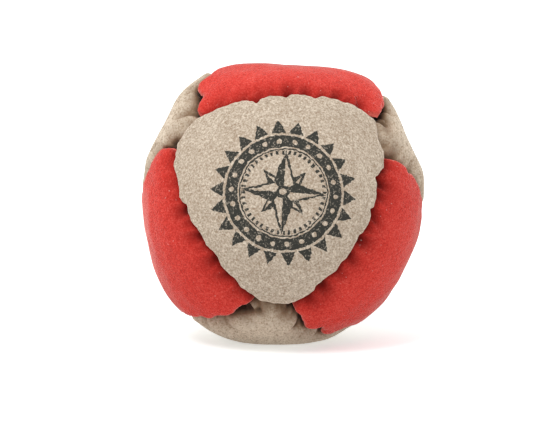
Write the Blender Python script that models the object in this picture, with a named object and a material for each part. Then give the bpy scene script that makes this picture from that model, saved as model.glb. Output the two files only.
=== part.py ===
"""A hand-sewn suede footbag of eight panels, sitting on its bottom panel.

The cover is cut as a ball with the seams of an octahedron. Four tan panels reach a little past the
octahedron's edges, so that they meet each other in a short seam at each of its six corners, and four
red panels fill what is left. Every panel's edge is turned in and overcast to its neighbour's with
thread, and the cover is filled with plastic pellets. Lengths are in metres, +Z is up, and the front
panel faces -Y.
"""

import math

import bmesh
import bpy
from mathutils import Vector

# The filled bag
BAG_RADIUS = 0.0268
SIT_HEIGHT = 0.0256
FOOT_ROUNDING = 0.0003

# How the seam pattern lies on the ball, in degrees. The front panel's corners are turned by these
# angles from its right side.
FRONT_TILT = 19.5
PATTERN_ROLL = -4.1
FRONT_CORNER_TURNS = (150, 30, 270)

# The suede panels
TAN_REACH = 0.0024
SUEDE_THICKNESS = 0.0010
TURNED_EDGE = 0.0030
GROOVE_DEPTH = 0.0014
PROUD_EDGE_ROLL = 0.0013
LOW_EDGE_SLOPE = 0.0042
STITCH_DIMPLE = 0.0003
SEAM_GAP = 0.0003
MITRE_SPREAD_SHARE = 2.5

# The overcast stitches
THREAD_DIAMETER = 0.0004
STITCH_PITCH = 0.0032
STITCH_DEPTH = 0.0013
LONG_SEAM_MARGIN = 0.0028
SHORT_SEAM_MARGIN = 0.0020
THREAD_CLEARANCE = 0.0002

# The pellet fill
FILL_CLEARANCE = 0.0003

# Each panel is the part of the ball where the octahedron's three axes have these signs. The axes
# point at the front panel's upper left, upper right and lower corners.
PANELS = {
    "tan_front": (1, 1, 1),
    "tan_left": (1, -1, -1),
    "tan_right": (-1, 1, -1),
    "tan_bottom": (-1, -1, 1),
    "red_top": (1, 1, -1),
    "red_left": (1, -1, 1),
    "red_right": (-1, 1, 1),
    "red_back": (-1, -1, -1),
}

# Where two panels meet, the one that comes first here stands proud, with a tightly rolled edge, and
# the other one slopes down to it
PROUDEST_FIRST = (
    "tan_front",
    "red_top",
    "red_left",
    "red_right",
    "red_back",
    "tan_left",
    "tan_right",
    "tan_bottom",
)

# The filling pushes the cover out where these panels meet, by these shares of the highest shoulder
SHOULDER_HEIGHT = 0.0027
SHOULDER_REACH = 0.0078
SHOULDER_SHARES = {
    ("tan_right", "red_top"): 1,
    ("tan_left", "red_top"): 0.9,
    ("tan_right", "red_right"): 0.1,
    ("tan_left", "red_left"): 0.1,
    ("tan_bottom", "red_left"): 0.4,
    ("tan_bottom", "red_right"): 0.1,
    ("tan_front", "red_top"): 0.3,
    ("tan_front", "red_left"): 0.2,
    ("tan_front", "red_right"): 0.2,
    ("tan_left", "red_back"): 0.3,
    ("tan_right", "red_back"): 0.3,
    ("tan_bottom", "red_back"): 0.2,
}

# Sewing by hand pulls the seams off their true lines. Each pull has its place, as shares of the ball's
# radius along the octahedron's axes, the panel that it goes towards, and its size as a share of a
# strong pull.
SEAM_PULL = 0.0020
SEAM_PULL_REACH = 0.0065
SEAM_PULL_SHARES = (
    ((0.95, 0.31, 0), "tan_front", 0.3),
    ((0.65, 0.76, 0), "red_top", 0.4),
    ((0.27, 0.96, 0), "red_top", 1.4),
    ((0.12, 0.98, -0.15), "red_top", 0.5),
    ((0.87, 0, 0.5), "red_left", 0.9),
    ((0.45, -0.09, 0.89), "red_left", 0.2),
    ((0.98, -0.1, 0.2), "red_left", 0.4),
    ((0.12, -0.1, 0.99), "tan_front", 0.2),
    ((0, 0.64, 0.77), "red_right", 0.4),
    ((-0.09, 0.3, 0.95), "red_right", 0.3),
    ((-0.05, 0.99, 0.14), "tan_front", 0.9),
    ((-0.09, 0.93, 0.36), "tan_front", 0.2),
    ((0.77, 0, -0.64), "tan_left", 0.9),
    ((0.95, 0.1, -0.3), "tan_left", 0.3),
    ((0, 0.77, -0.64), "tan_right", 1),
    ((0.05, 0.97, -0.24), "tan_right", 0.6),
    ((0.8, -0.6, 0), "tan_left", 0.7),
    ((0.96, -0.26, 0.1), "tan_left", 0.8),
    ((-0.55, 0.83, 0), "tan_right", 0.8),
    ((-0.3, 0.95, 0.1), "tan_right", 0.6),
    ((-0.5, 0, 0.87), "tan_bottom", 1.3),
)

# Rings of points between a panel's edge and its middle, as shares of the way to the middle
EDGE_RING_SHARE = 0.3
OUTER_RING_SHARES = (0.22, 0.42, 0.6, 0.78)
INNER_RING_SHARE = 0.5

# Points of the fill that lie nearer than this are one point
WELD_DISTANCE = 0.000003

# Edges that turn by more degrees than this are shaded as creases
CREASE_ANGLE = 40

# Material colours, as linear red, green and blue, and roughnesses
TAN_SUEDE = (0.53, 0.43, 0.33)
RED_SUEDE = (0.60, 0.05, 0.04)
BLACK_THREAD = (0.02, 0.02, 0.02)
WHITE_PELLETS = (0.75, 0.75, 0.72)
SUEDE_ROUGHNESS = 0.95
THREAD_ROUGHNESS = 0.6
PELLET_ROUGHNESS = 0.5


def clear_scene():
    for old in list(bpy.data.objects):
        bpy.data.objects.remove(old)


def matte_material(name, colour, roughness):
    material = bpy.data.materials.new(name)
    material.use_nodes = True
    shader = material.node_tree.nodes["Principled BSDF"]
    shader.inputs["Base Color"].default_value = (*colour, 1)
    shader.inputs["Roughness"].default_value = roughness
    shader.inputs["Metallic"].default_value = 0
    return material


def octahedron_axes():
    """World directions of the front panel's upper left, upper right and lower corners."""
    tilt = math.radians(FRONT_TILT)
    front = Vector((0, -math.cos(tilt), math.sin(tilt)))
    side = Vector((1, 0, 0))
    rise = side.cross(-front)
    corner_tilt = math.acos(1 / math.sqrt(3))
    axes = []
    for corner in FRONT_CORNER_TURNS:
        turn = math.radians(corner + PATTERN_ROLL)
        outward = side * math.cos(turn) + rise * math.sin(turn)
        axes.append(front * math.cos(corner_tilt) + outward * math.sin(corner_tilt))
    return axes


AXES = octahedron_axes()


def true_direction(place):
    """World direction of a place that is given along the octahedron's axes."""
    return sum((axis * along for axis, along in zip(AXES, place)), Vector()).normalized()


def seam_pulls():
    """Where the ball's surface is pulled, and how far, on a ball of radius 1."""
    pulls = []
    for place, towards, share in SEAM_PULL_SHARES:
        centre = true_direction(place)
        way = true_direction(PANELS[towards]) - centre
        way -= centre * way.dot(centre)
        pulls.append((centre, way.normalized() * share * SEAM_PULL / BAG_RADIUS))
    return pulls


SEAM_PULLS = seam_pulls()


def to_world(place):
    """World direction of a place that is given along the octahedron's axes, after the pulls."""
    direction = true_direction(place)
    pulled = direction.copy()
    for centre, move in SEAM_PULLS:
        away = (direction - centre).length * BAG_RADIUS / SEAM_PULL_REACH
        pulled += move * math.exp(-away * away / 2)
    return pulled.normalized()


def shoulder_tops():
    """Where each pair of panels that has a shoulder meets, and how high the shoulder is."""
    tops = []
    for (first, second), share in SHOULDER_SHARES.items():
        both = [a + b for a, b in zip(PANELS[first], PANELS[second])]
        tops.append((true_direction(both), share * SHOULDER_HEIGHT))
    return tops


SHOULDER_TOPS = shoulder_tops()


def bag_radius(direction):
    """Distance from the middle of the bag to its cover, before the seams' grooves."""
    radius = BAG_RADIUS
    for top, height in SHOULDER_TOPS:
        away = (direction - top).length * BAG_RADIUS / SHOULDER_REACH
        radius += height * math.exp(-away * away / 2)
    if direction.z >= 0:
        return radius
    to_floor = SIT_HEIGHT / -direction.z
    near = max(0, FOOT_ROUNDING - abs(radius - to_floor)) / FOOT_ROUNDING
    return min(radius, to_floor) - near * near * FOOT_ROUNDING / 4


class Panel:
    """One panel's place on the ball. Its sides run round it in order, each from corner to corner."""

    def __init__(self, name):
        self.name = name
        self.signs = PANELS[name]
        self.is_tan = math.prod(self.signs) > 0
        self.sides = []
        for first in range(3):
            if self.is_tan:
                self.sides.append(("short", first))
            self.sides.append(("long", first))
        self.widths = {side: self.width_towards(side) for side in self.sides}
        self.columns = [
            (side, share, kind)
            for side in self.sides
            for share, kind in seam_columns(side[0])
        ]

    def width_towards(self, side):
        """How wide the panel's edge is along a side, by which of the two panels there is prouder."""
        kind, first = side
        turned = {(first + 2) % 3} if kind == "long" else {(first + 1) % 3, (first + 2) % 3}
        signs = tuple(-sign if k in turned else sign for k, sign in enumerate(self.signs))
        other = next(name for name in PANELS if PANELS[name] == signs)
        proud = PROUDEST_FIRST.index(self.name) < PROUDEST_FIRST.index(other)
        return PROUD_EDGE_ROLL if proud else LOW_EDGE_SLOPE

    def width_at(self, side, share):
        """The width of the panel's edge at a point on a side, evened out towards the next sides."""
        order, length = self.sides.index(side), seam_length(side[0])
        own = self.widths[side]
        before = self.widths[self.sides[order - 1]]
        after = self.widths[self.sides[(order + 1) % len(self.sides)]]
        near_start = max(0, 1 - share * length / LOW_EDGE_SLOPE)
        near_end = max(0, 1 - (1 - share) * length / LOW_EDGE_SLOPE)
        return own + (before - own) / 2 * near_start + (after - own) / 2 * near_end

    def spot(self, side, share, offset):
        """A point on a side, moved into the panel by an offset, along the octahedron's axes."""
        reach, inward = TAN_REACH / BAG_RADIUS, offset / BAG_RADIUS
        kind, first = side
        second, third = (first + 1) % 3, (first + 2) % 3
        spot = [0, 0, 0]
        if kind == "long":
            height = inward - reach if self.is_tan else inward + reach
            corner = reach + inward * ((math.sqrt(2) - 1) if self.is_tan else 1)
            ring = math.sqrt(1 - height * height)
            start = math.asin(corner / ring)
            nominal = math.asin(reach / math.sqrt(1 - reach * reach))
            turn = nominal + (math.pi / 2 - 2 * nominal) * share
            turn += corner_shift(kind, share, (start - nominal) * BAG_RADIUS) / BAG_RADIUS
            spot[first] = ring * math.cos(turn)
            spot[second] = ring * math.sin(turn)
            spot[third] = height
        else:
            half = math.sqrt(2) * reach
            along = half * (2 * share - 1)
            along += corner_shift(kind, share, (math.sqrt(2) - 1) * offset) / BAG_RADIUS
            spot[second] = (inward + along) / math.sqrt(2)
            spot[third] = (inward - along) / math.sqrt(2)
            spot[first] = math.sqrt(1 - spot[second] ** 2 - spot[third] ** 2)
        return Vector(sign * value for sign, value in zip(self.signs, spot))

    def distance(self, spot, side):
        """How far a spot is from one of the panel's sides."""
        kind, first = side
        second, third = (first + 1) % 3, (first + 2) % 3
        if kind == "short":
            across = self.signs[second] * spot[second] + self.signs[third] * spot[third]
            return across / math.sqrt(2) * BAG_RADIUS
        return self.signs[third] * spot[third] * BAG_RADIUS + (TAN_REACH if self.is_tan else -TAN_REACH)

    def drop(self, spot, at_stitch=False):
        """How far the cover lies below the ball at a spot, because of the seams near it."""
        deepest = 0
        for side, width in self.widths.items():
            left = min(1, max(0, 1 - self.distance(spot, side) / width))
            proud = width == PROUD_EDGE_ROLL
            deepest = max(deepest, 1 - math.sqrt(1 - left * left) if proud else left * left)
        return deepest * (GROOVE_DEPTH + (STITCH_DIMPLE if at_stitch else 0))


def seam_length(kind):
    """Length of a long or a short seam, from corner to corner."""
    reach = TAN_REACH / BAG_RADIUS
    if kind == "short":
        return 2 * math.sqrt(2) * TAN_REACH
    ring = math.sqrt(1 - reach * reach)
    return ring * (math.pi / 2 - 2 * math.asin(reach / ring)) * BAG_RADIUS


def seam_margin(kind):
    return LONG_SEAM_MARGIN if kind == "long" else SHORT_SEAM_MARGIN


def stitch_shares(kind):
    """Where a seam's stitches are, as shares of its length."""
    length, margin = seam_length(kind), seam_margin(kind)
    run = max(0, length - 2 * margin)
    gaps = round(run / STITCH_PITCH)
    if gaps == 0:
        return [0.5]
    return [(margin + run * i / gaps) / length for i in range(gaps + 1)]


def seam_columns(kind):
    """A seam's start, then flat lands and stitches by turns, as shares of its length."""
    stitches = stitch_shares(kind)
    columns = [(0, "corner"), (stitches[0] / 2, "land")]
    for share, following in zip(stitches, stitches[1:]):
        columns.append((share, "stitch"))
        columns.append(((share + following) / 2, "land"))
    columns.append((stitches[-1], "stitch"))
    columns.append(((stitches[-1] + 1) / 2, "land"))
    return columns


def corner_shift(kind, share, at_corner):
    """How far a point near a seam's end moves along it, to leave room for the corner's mitre."""
    length = seam_length(kind)
    fan = max(seam_margin(kind), MITRE_SPREAD_SHARE * abs(at_corner))
    from_start = max(0, 1 - share * length / fan)
    from_end = max(0, 1 - (1 - share) * length / fan)
    return at_corner * (from_start - from_end)


def stitch_top(margin_to_walls):
    """Depth below the groove at which the thread crosses a notch, clear of the notch's two walls."""
    slope = math.atan((TURNED_EDGE - STITCH_DEPTH) / (STITCH_PITCH / 2))
    return STITCH_DEPTH + margin_to_walls / math.cos(slope)


def flange_half_width():
    return SEAM_GAP / 2 + SUEDE_THICKNESS


def thread_side_offset():
    """How far the thread's loops stand from the seam on each side."""
    return flange_half_width() + THREAD_DIAMETER / 2


def channel_half_width():
    """Half the width of the channel that a seam leaves in the fill."""
    return thread_side_offset() + THREAD_DIAMETER / 2 + FILL_CLEARANCE


def ring_of(bm, panel, columns, offset_at, radius_at, share=0):
    """A ring of points keyed by column: a way in from the panel's edge, then a share of the way on to
    the panel's middle."""
    ring = {}
    for index in columns:
        side, along, kind = panel.columns[index]
        spot = panel.spot(side, along, offset_at(side, along))
        spot = spot.lerp(Vector(panel.signs).normalized(), share).normalized()
        ring[index] = bm.verts.new(to_world(spot) * radius_at(spot, kind))
    return ring


def steady(offset):
    return lambda side, along: offset


def bridge(bm, dense, sparse):
    """Triangles between two rings, where the second has all or some of the first one's columns."""
    order = sorted(dense)
    kept = sorted(sparse)
    for here, following in zip(kept, kept[1:] + kept[:1]):
        start, end = order.index(here), order.index(following)
        run = order[start : end + 1] if end > start else order[start:] + order[: end + 1]
        middle = len(run) // 2
        for step, (one, other) in enumerate(zip(run, run[1:])):
            apex = here if step < middle else following
            bm.faces.new([sparse[apex], dense[one], dense[other]])
        bm.faces.new([sparse[here], dense[run[middle]], sparse[following]])


def close_with_fan(bm, panel, ring, radius_at):
    """Triangles from a ring to the panel's middle."""
    order = sorted(ring)
    middle = Vector(panel.signs).normalized()
    centre = bm.verts.new(to_world(middle) * radius_at(middle, "middle"))
    for here, following in zip(order, order[1:] + order[:1]):
        bm.faces.new([ring[here], ring[following], centre])


def solid_object(name, bm, material):
    bmesh.ops.recalc_face_normals(bm, faces=bm.faces)
    mesh = bpy.data.meshes.new(name)
    bm.to_mesh(mesh)
    bm.free()
    mesh.materials.append(material)
    mesh.shade_smooth()
    mesh.set_sharp_from_angle(angle=math.radians(CREASE_ANGLE))
    obj = bpy.data.objects.new(name, mesh)
    bpy.context.scene.collection.objects.link(obj)
    return obj


def column_sets(panel):
    """All of a panel's columns, those away from stitches, and every second and fourth of those."""
    every = list(range(len(panel.columns)))
    lands = [i for i in every if panel.columns[i][2] != "stitch"]
    return every, lands, lands[::2], lands[::4]


def panel_solid(panel, material):
    """A panel of suede: its crowned outside, its turned-in edge with a notch at each stitch, and its
    inside."""
    bm = bmesh.new()
    every, lands, half, quarter = column_sets(panel)
    face, back, channel = SEAM_GAP / 2, flange_half_width(), channel_half_width()

    def down_slope(share):
        return lambda side, along: face + (panel.width_at(side, along) - face) * share

    def outside(spot, kind):
        return bag_radius(to_world(spot)) - panel.drop(spot, kind == "stitch")

    def inside(spot, kind):
        return bag_radius(to_world(spot)) - panel.drop(spot) - SUEDE_THICKNESS

    def turned_end(spot, kind):
        depth = STITCH_DEPTH if kind == "stitch" else TURNED_EDGE
        return bag_radius(to_world(spot)) - GROOVE_DEPTH - depth

    rings = [ring_of(bm, panel, quarter, down_slope(1), outside, OUTER_RING_SHARES[-1])]
    for share in reversed(OUTER_RING_SHARES[:-1]):
        rings.append(ring_of(bm, panel, half, down_slope(1), outside, share))
    rings += [
        ring_of(bm, panel, lands, down_slope(1), outside),
        ring_of(bm, panel, every, down_slope(EDGE_RING_SHARE), outside),
        ring_of(bm, panel, every, steady(face), outside),
        ring_of(bm, panel, every, steady(face), turned_end),
        ring_of(bm, panel, every, steady(back), turned_end),
        ring_of(bm, panel, lands, steady(back), inside),
        ring_of(bm, panel, lands, steady(channel), inside),
        ring_of(bm, panel, half, steady(channel), inside, INNER_RING_SHARE),
    ]
    for first, second in zip(rings, rings[1:]):
        if len(first) < len(second):
            first, second = second, first
        bridge(bm, first, second)
    close_with_fan(bm, panel, rings[0], outside)
    close_with_fan(bm, panel, rings[-1], inside)
    return solid_object("panel_" + panel.name, bm, material)


def shared_seams(panels):
    """Each pair of panels that meet, with the side that each has there."""
    seams = []
    for i, first in enumerate(panels):
        for second in panels[i + 1 :]:
            differing = [k for k in range(3) if first.signs[k] != second.signs[k]]
            if len(differing) == 1:
                side = ("long", (differing[0] + 1) % 3)
            elif len(differing) == 2 and first.is_tan:
                side = ("short", ({0, 1, 2} - set(differing)).pop())
            else:
                continue
            seams.append((first, second, side))
    return seams


def stitching(first, second, side, material):
    """One seam's thread: it crosses between two panels in each notch, and back under each land."""
    mirrored = side[0] == "short"
    shares = stitch_shares(side[0])
    offset = thread_side_offset()
    to_wall = THREAD_DIAMETER / 2 + THREAD_CLEARANCE
    top, bottom = stitch_top(to_wall), TURNED_EDGE + to_wall

    def loop_corner(panel, share, depth):
        own_share = 1 - share if mirrored and panel is second else share
        direction = to_world(panel.spot(side, own_share, offset))
        return direction * (bag_radius(direction) - GROOVE_DEPTH - depth)

    points = []
    for i, share in enumerate(shares):
        points.append(loop_corner(first, share, top))
        points.append(loop_corner(second, share, top))
        if i + 1 < len(shares):
            land = (share + shares[i + 1]) / 2
            points.append(loop_corner(second, land, bottom))
            points.append(loop_corner(first, land, bottom))
    name = "stitching_" + first.name + "_to_" + second.name
    curve = bpy.data.curves.new(name, "CURVE")
    curve.dimensions = "3D"
    curve.bevel_depth = THREAD_DIAMETER / 2
    curve.bevel_resolution = 0
    curve.use_fill_caps = True
    spline = curve.splines.new("POLY")
    spline.points.add(len(points) - 1)
    for spline_point, point in zip(spline.points, points):
        spline_point.co = (*point, 1)
    curve.materials.append(material)
    obj = bpy.data.objects.new(name, curve)
    bpy.context.scene.collection.objects.link(obj)
    return obj


def pellet_fill(panels, material):
    """The packed pellets: a pad under each panel, and a channel round every seam's turned edges."""
    bm = bmesh.new()
    channel = channel_half_width()
    depth = TURNED_EDGE + 2 * (THREAD_DIAMETER / 2 + THREAD_CLEARANCE) + FILL_CLEARANCE

    def channel_floor(spot, kind):
        return bag_radius(to_world(spot)) - GROOVE_DEPTH - depth

    for panel in panels:
        _, lands, half, _ = column_sets(panel)

        def pad(spot, kind, panel=panel):
            return bag_radius(to_world(spot)) - panel.drop(spot) - SUEDE_THICKNESS - FILL_CLEARANCE

        rings = [
            ring_of(bm, panel, lands, steady(0), channel_floor),
            ring_of(bm, panel, lands, steady(channel), channel_floor),
            ring_of(bm, panel, lands, steady(channel), pad),
            ring_of(bm, panel, half, steady(channel), pad, INNER_RING_SHARE),
        ]
        for first, second in zip(rings, rings[1:]):
            bridge(bm, first, second)
        close_with_fan(bm, panel, rings[-1], pad)
    bmesh.ops.remove_doubles(bm, verts=bm.verts, dist=WELD_DISTANCE)
    return solid_object("pellet_fill", bm, material)


def stand_on_origin(parts):
    """Moves the bag so that the origin is on the floor, under the middle of its bounding box."""
    corners = []
    for part in parts:
        if part.type == "MESH":
            corners += [vertex.co for vertex in part.data.vertices]
    middle = [(min(c[k] for c in corners) + max(c[k] for c in corners)) / 2 for k in range(2)]
    move = Vector((-middle[0], -middle[1], SIT_HEIGHT))
    for part in parts:
        part.location = move


def main():
    clear_scene()
    tan = matte_material("tan_suede", TAN_SUEDE, SUEDE_ROUGHNESS)
    red = matte_material("red_suede", RED_SUEDE, SUEDE_ROUGHNESS)
    thread = matte_material("black_thread", BLACK_THREAD, THREAD_ROUGHNESS)
    pellets = matte_material("white_pellets", WHITE_PELLETS, PELLET_ROUGHNESS)
    panels = [Panel(name) for name in PANELS]
    parts = [panel_solid(panel, tan if panel.is_tan else red) for panel in panels]
    parts += [stitching(*seam, thread) for seam in shared_seams(panels)]
    parts.append(pellet_fill(panels, pellets))
    stand_on_origin(parts)


main()
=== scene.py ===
import itertools
import math

import bmesh
import bpy
import numpy as np
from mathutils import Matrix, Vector


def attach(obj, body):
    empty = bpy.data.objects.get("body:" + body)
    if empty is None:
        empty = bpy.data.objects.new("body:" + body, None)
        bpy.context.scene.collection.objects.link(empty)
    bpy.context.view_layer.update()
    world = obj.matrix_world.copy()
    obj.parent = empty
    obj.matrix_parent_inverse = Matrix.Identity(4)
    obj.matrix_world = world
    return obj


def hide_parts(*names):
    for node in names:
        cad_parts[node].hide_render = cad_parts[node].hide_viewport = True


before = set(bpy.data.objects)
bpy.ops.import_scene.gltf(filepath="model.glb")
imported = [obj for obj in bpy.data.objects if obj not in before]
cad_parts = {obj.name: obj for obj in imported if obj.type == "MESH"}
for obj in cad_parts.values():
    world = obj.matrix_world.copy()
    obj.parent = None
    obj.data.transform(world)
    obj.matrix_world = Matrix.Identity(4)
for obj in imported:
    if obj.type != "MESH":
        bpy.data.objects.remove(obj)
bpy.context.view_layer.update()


# The camera. The bag was photographed from straight in front and a little above, from so far off that
# the view hardly narrows, and the bag sits up and to the right of the middle of the picture.
PICTURE_WIDTH = 533
PICTURE_MIDDLE = (266.5, 214)
BALL_IN_PICTURE = (281.7, 206.4)
PIXELS_PER_METRE = 5190
BALL_MIDDLE = np.array((0, -0.000045, 0.0256))
CAMERA_ELEVATION = math.radians(8.8)
CAMERA_DISTANCE = 1.2
SENSOR_WIDTH = 36
CLIP_RANGE = (0.1, 20)


def put_in_scene(name, data):
    """An object of a camera, lamp or mesh, put in the scene."""
    placed = bpy.data.objects.new(name, data)
    bpy.context.scene.collection.objects.link(placed)
    return placed


towards_camera = Vector((0, -math.cos(CAMERA_ELEVATION), math.sin(CAMERA_ELEVATION)))
picture_up = Vector((0, math.sin(CAMERA_ELEVATION), math.cos(CAMERA_ELEVATION)))
picture_right = Vector((1, 0, 0))
aim = Vector(BALL_MIDDLE)
aim -= picture_right * (BALL_IN_PICTURE[0] - PICTURE_MIDDLE[0]) / PIXELS_PER_METRE
aim -= picture_up * (PICTURE_MIDDLE[1] - BALL_IN_PICTURE[1]) / PIXELS_PER_METRE

lens = bpy.data.cameras.new("camera")
lens.sensor_width = SENSOR_WIDTH
lens.lens = SENSOR_WIDTH * CAMERA_DISTANCE * PIXELS_PER_METRE / PICTURE_WIDTH
lens.clip_start, lens.clip_end = CLIP_RANGE
camera = put_in_scene("camera", lens)
camera.location = aim + towards_camera * CAMERA_DISTANCE
camera.rotation_euler = (math.pi / 2 - CAMERA_ELEVATION, 0, 0)
bpy.context.scene.camera = camera
bpy.context.scene.view_settings.view_transform = "Standard"


# The studio. A white sweep of paper under wide soft lamps, the main one above in front, with the room's
# white walls lighting the rest. The paper reads as white, and keeps the bag's soft shadow.
ROOM_LIGHT = 0.46

# Each lamp's strength, how wide it looks from the bag, and where it stands
LAMPS = {
    "soft_lamp": (1.8, math.radians(28), (-0.35, -0.42, 1.0)),
    "back_lamp": (1.3, math.radians(100), (0, 1.0, 0.75)),
    "left_lamp": (0.42, math.radians(90), (-1, -0.1, 0.35)),
    "right_lamp": (0.74, math.radians(90), (1, -0.1, 0.35)),
}
PAPER_HALF_WIDTH = 4
PAPER_HEIGHT = -0.00002

# The paper as it lights the bag, and as the camera sees it
PAPER_COLOUR = (0.55, 0.55, 0.55, 1)
PAPER_GLOW = 0.32
PAPER_SEEN_COLOUR = (0.83, 0.9, 0.9, 1)
PAPER_SEEN_GLOW = 0.45
WHITE = (1, 1, 1, 1)


def add_node(tree, kind, inputs=None, **settings):
    """A shader node. An input is a plain value, or a socket that is linked to it."""
    node = tree.nodes.new(kind)
    for name, value in settings.items():
        setattr(node, name, value)
    for name, value in (inputs or {}).items():
        if isinstance(value, bpy.types.NodeSocket):
            tree.links.new(value, node.inputs[name])
        else:
            node.inputs[name].default_value = value
    return node


def bare_tree(owner):
    """The emptied node tree of a material or world."""
    owner.use_nodes = True
    owner.node_tree.nodes.clear()
    return owner.node_tree


def seen_directly(tree):
    """1 for a ray that shows its surface to the camera, also through glass or in a mirror."""
    path = add_node(tree, "ShaderNodeLightPath")
    mirrored = add_node(tree, "ShaderNodeMath", {0: path.outputs["Is Camera Ray"],
                        1: path.outputs["Is Glossy Ray"]}, operation="MAXIMUM")
    return add_node(tree, "ShaderNodeMath", {0: mirrored.outputs[0],
                    1: path.outputs["Is Transmission Ray"]}, operation="MAXIMUM").outputs[0]


def lit_or_seen(tree, lit, seen):
    """One shader for the light that falls on the bag, and another for what the camera sees."""
    return add_node(tree, "ShaderNodeMixShader", {0: seen_directly(tree), 1: lit.outputs[0],
                    2: seen.outputs[0]}).outputs[0]


def glowing_paper(tree, colour, glow):
    """Matt paper that also gives some light of its own."""
    matt = add_node(tree, "ShaderNodeBsdfDiffuse", {"Color": colour})
    light = add_node(tree, "ShaderNodeEmission", {"Color": WHITE, "Strength": glow})
    return add_node(tree, "ShaderNodeAddShader", {0: matt.outputs[0], 1: light.outputs[0]})


room = bpy.data.worlds.new("room")
bpy.context.scene.world = room
tree = bare_tree(room)
walls = add_node(tree, "ShaderNodeBackground", {"Color": WHITE, "Strength": ROOM_LIGHT})
white = add_node(tree, "ShaderNodeBackground", {"Color": WHITE, "Strength": 1.0})
add_node(tree, "ShaderNodeOutputWorld", {"Surface": lit_or_seen(tree, walls, white)})

for lamp_name, (strength, spread, lamp_from) in LAMPS.items():
    lamp_light = bpy.data.lights.new(lamp_name, "SUN")
    lamp_light.energy = strength
    lamp_light.angle = spread
    lamp = put_in_scene(lamp_name, lamp_light)
    lamp.rotation_euler = Vector(lamp_from).to_track_quat("Z", "Y").to_euler()

paper_material = bpy.data.materials.new("studio_paper")
tree = bare_tree(paper_material)
lit_paper = glowing_paper(tree, PAPER_COLOUR, PAPER_GLOW)
seen_paper = glowing_paper(tree, PAPER_SEEN_COLOUR, PAPER_SEEN_GLOW)
add_node(tree, "ShaderNodeOutputMaterial", {"Surface": lit_or_seen(tree, lit_paper, seen_paper)})

paper_mesh = bpy.data.meshes.new("studio_paper")
paper_mesh.from_pydata([(x * PAPER_HALF_WIDTH, y * PAPER_HALF_WIDTH, PAPER_HEIGHT)
                        for x, y in ((-1, -1), (1, -1), (1, 1), (-1, 1))], [], [(0, 1, 2, 3)])
paper_mesh.materials.append(paper_material)
paper = put_in_scene("studio_paper", paper_mesh)


# The four red suede panels: top, left, right and back. Each is a rounded triangle of split suede, a
# millimetre thick, whose edges are turned in and sewn to the tan panels'. Where a red panel meets the
# front panel it dips under that one's edge, and where it meets another its own edge lies on top.
MM = 0.001
BAG_RADIUS = 0.0268
SIT_HEIGHT = 0.0256
FOOT_ROUNDING = 0.0003
FRONT_TILT = 19.5
PATTERN_ROLL = -4.1
FRONT_CORNER_TURNS = (150, 30, 270)
TAN_REACH = 0.0024
SUEDE_THICKNESS = 1.0 * MM
TURNED_EDGE = 0.0030
GROOVE_DEPTH = 0.0014
SEAM_FACE = 0.15 * MM
SHOULDER_HEIGHT = 0.0027
SHOULDER_REACH = 0.0078
SEAM_PULL = 0.0020
SEAM_PULL_REACH = 0.0065

# The signs of a panel's side of the octahedron, whose three axes point at the front panel's corners
PANELS = {
    "tan_front": (1, 1, 1),
    "tan_left": (1, -1, -1),
    "tan_right": (-1, 1, -1),
    "tan_bottom": (-1, -1, 1),
    "red_top": (1, 1, -1),
    "red_left": (1, -1, 1),
    "red_right": (-1, 1, 1),
    "red_back": (-1, -1, -1),
}

# Of two panels that meet, the one named first here has its edge on top
PROUDEST_FIRST = ("tan_front", "red_top", "red_left", "red_right", "red_back", "tan_left", "tan_right",
                  "tan_bottom")

# How strongly the filling pushes the cover out at the middle of a seam
SHOULDER_SHARES = {
    ("tan_right", "red_top"): 1,
    ("tan_left", "red_top"): 0.9,
    ("tan_right", "red_right"): 0.1,
    ("tan_left", "red_left"): 0.1,
    ("tan_bottom", "red_left"): 0.4,
    ("tan_bottom", "red_right"): 0.1,
    ("tan_front", "red_top"): 0.3,
    ("tan_front", "red_left"): 0.2,
    ("tan_front", "red_right"): 0.2,
    ("tan_left", "red_back"): 0.3,
    ("tan_right", "red_back"): 0.3,
    ("tan_bottom", "red_back"): 0.2,
}

# Where the sewing has pulled the seams off their true lines, towards which panel, and how strongly
SEAM_PULL_SHARES = (
    ((1, 0, 0), "tan_front", 0.22),
    ((0.95, 0.31, 0), "tan_front", 0.6),
    ((0.65, 0.76, 0), "tan_front", 0.05),
    ((0.27, 0.96, 0), "red_top", 1.15),
    ((0.27, 0.96, 0), "tan_front", 0.25),
    ((0.12, 0.98, -0.15), "red_top", 0.5),
    ((0.87, 0, 0.5), "red_left", 0.68),
    ((0.98, -0.1, 0.2), "red_left", 0.4),
    ((0.12, -0.1, 0.99), "tan_front", 0.1),
    ((0, 0.64, 0.77), "red_right", 0.15),
    ((-0.09, 0.3, 0.95), "red_right", 0.1),
    ((-0.05, 0.99, 0.14), "tan_front", 0.9),
    ((-0.09, 0.93, 0.36), "tan_front", 0.4),
    ((0.77, 0, -0.64), "tan_left", 0.1),
    ((0.95, 0.1, -0.3), "tan_left", 0.05),
    ((0, 0.77, -0.64), "tan_right", 1),
    ((0.05, 0.97, -0.24), "tan_right", 0.6),
    ((0.8, -0.6, 0), "tan_left", 0.7),
    ((0.96, -0.26, 0.1), "tan_left", 0.8),
    ((-0.55, 0.83, 0), "tan_right", 0.8),
    ((-0.3, 0.95, 0.1), "tan_right", 0.6),
    ((-0.5, 0, 0.87), "tan_bottom", 1.3),
)

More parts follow.
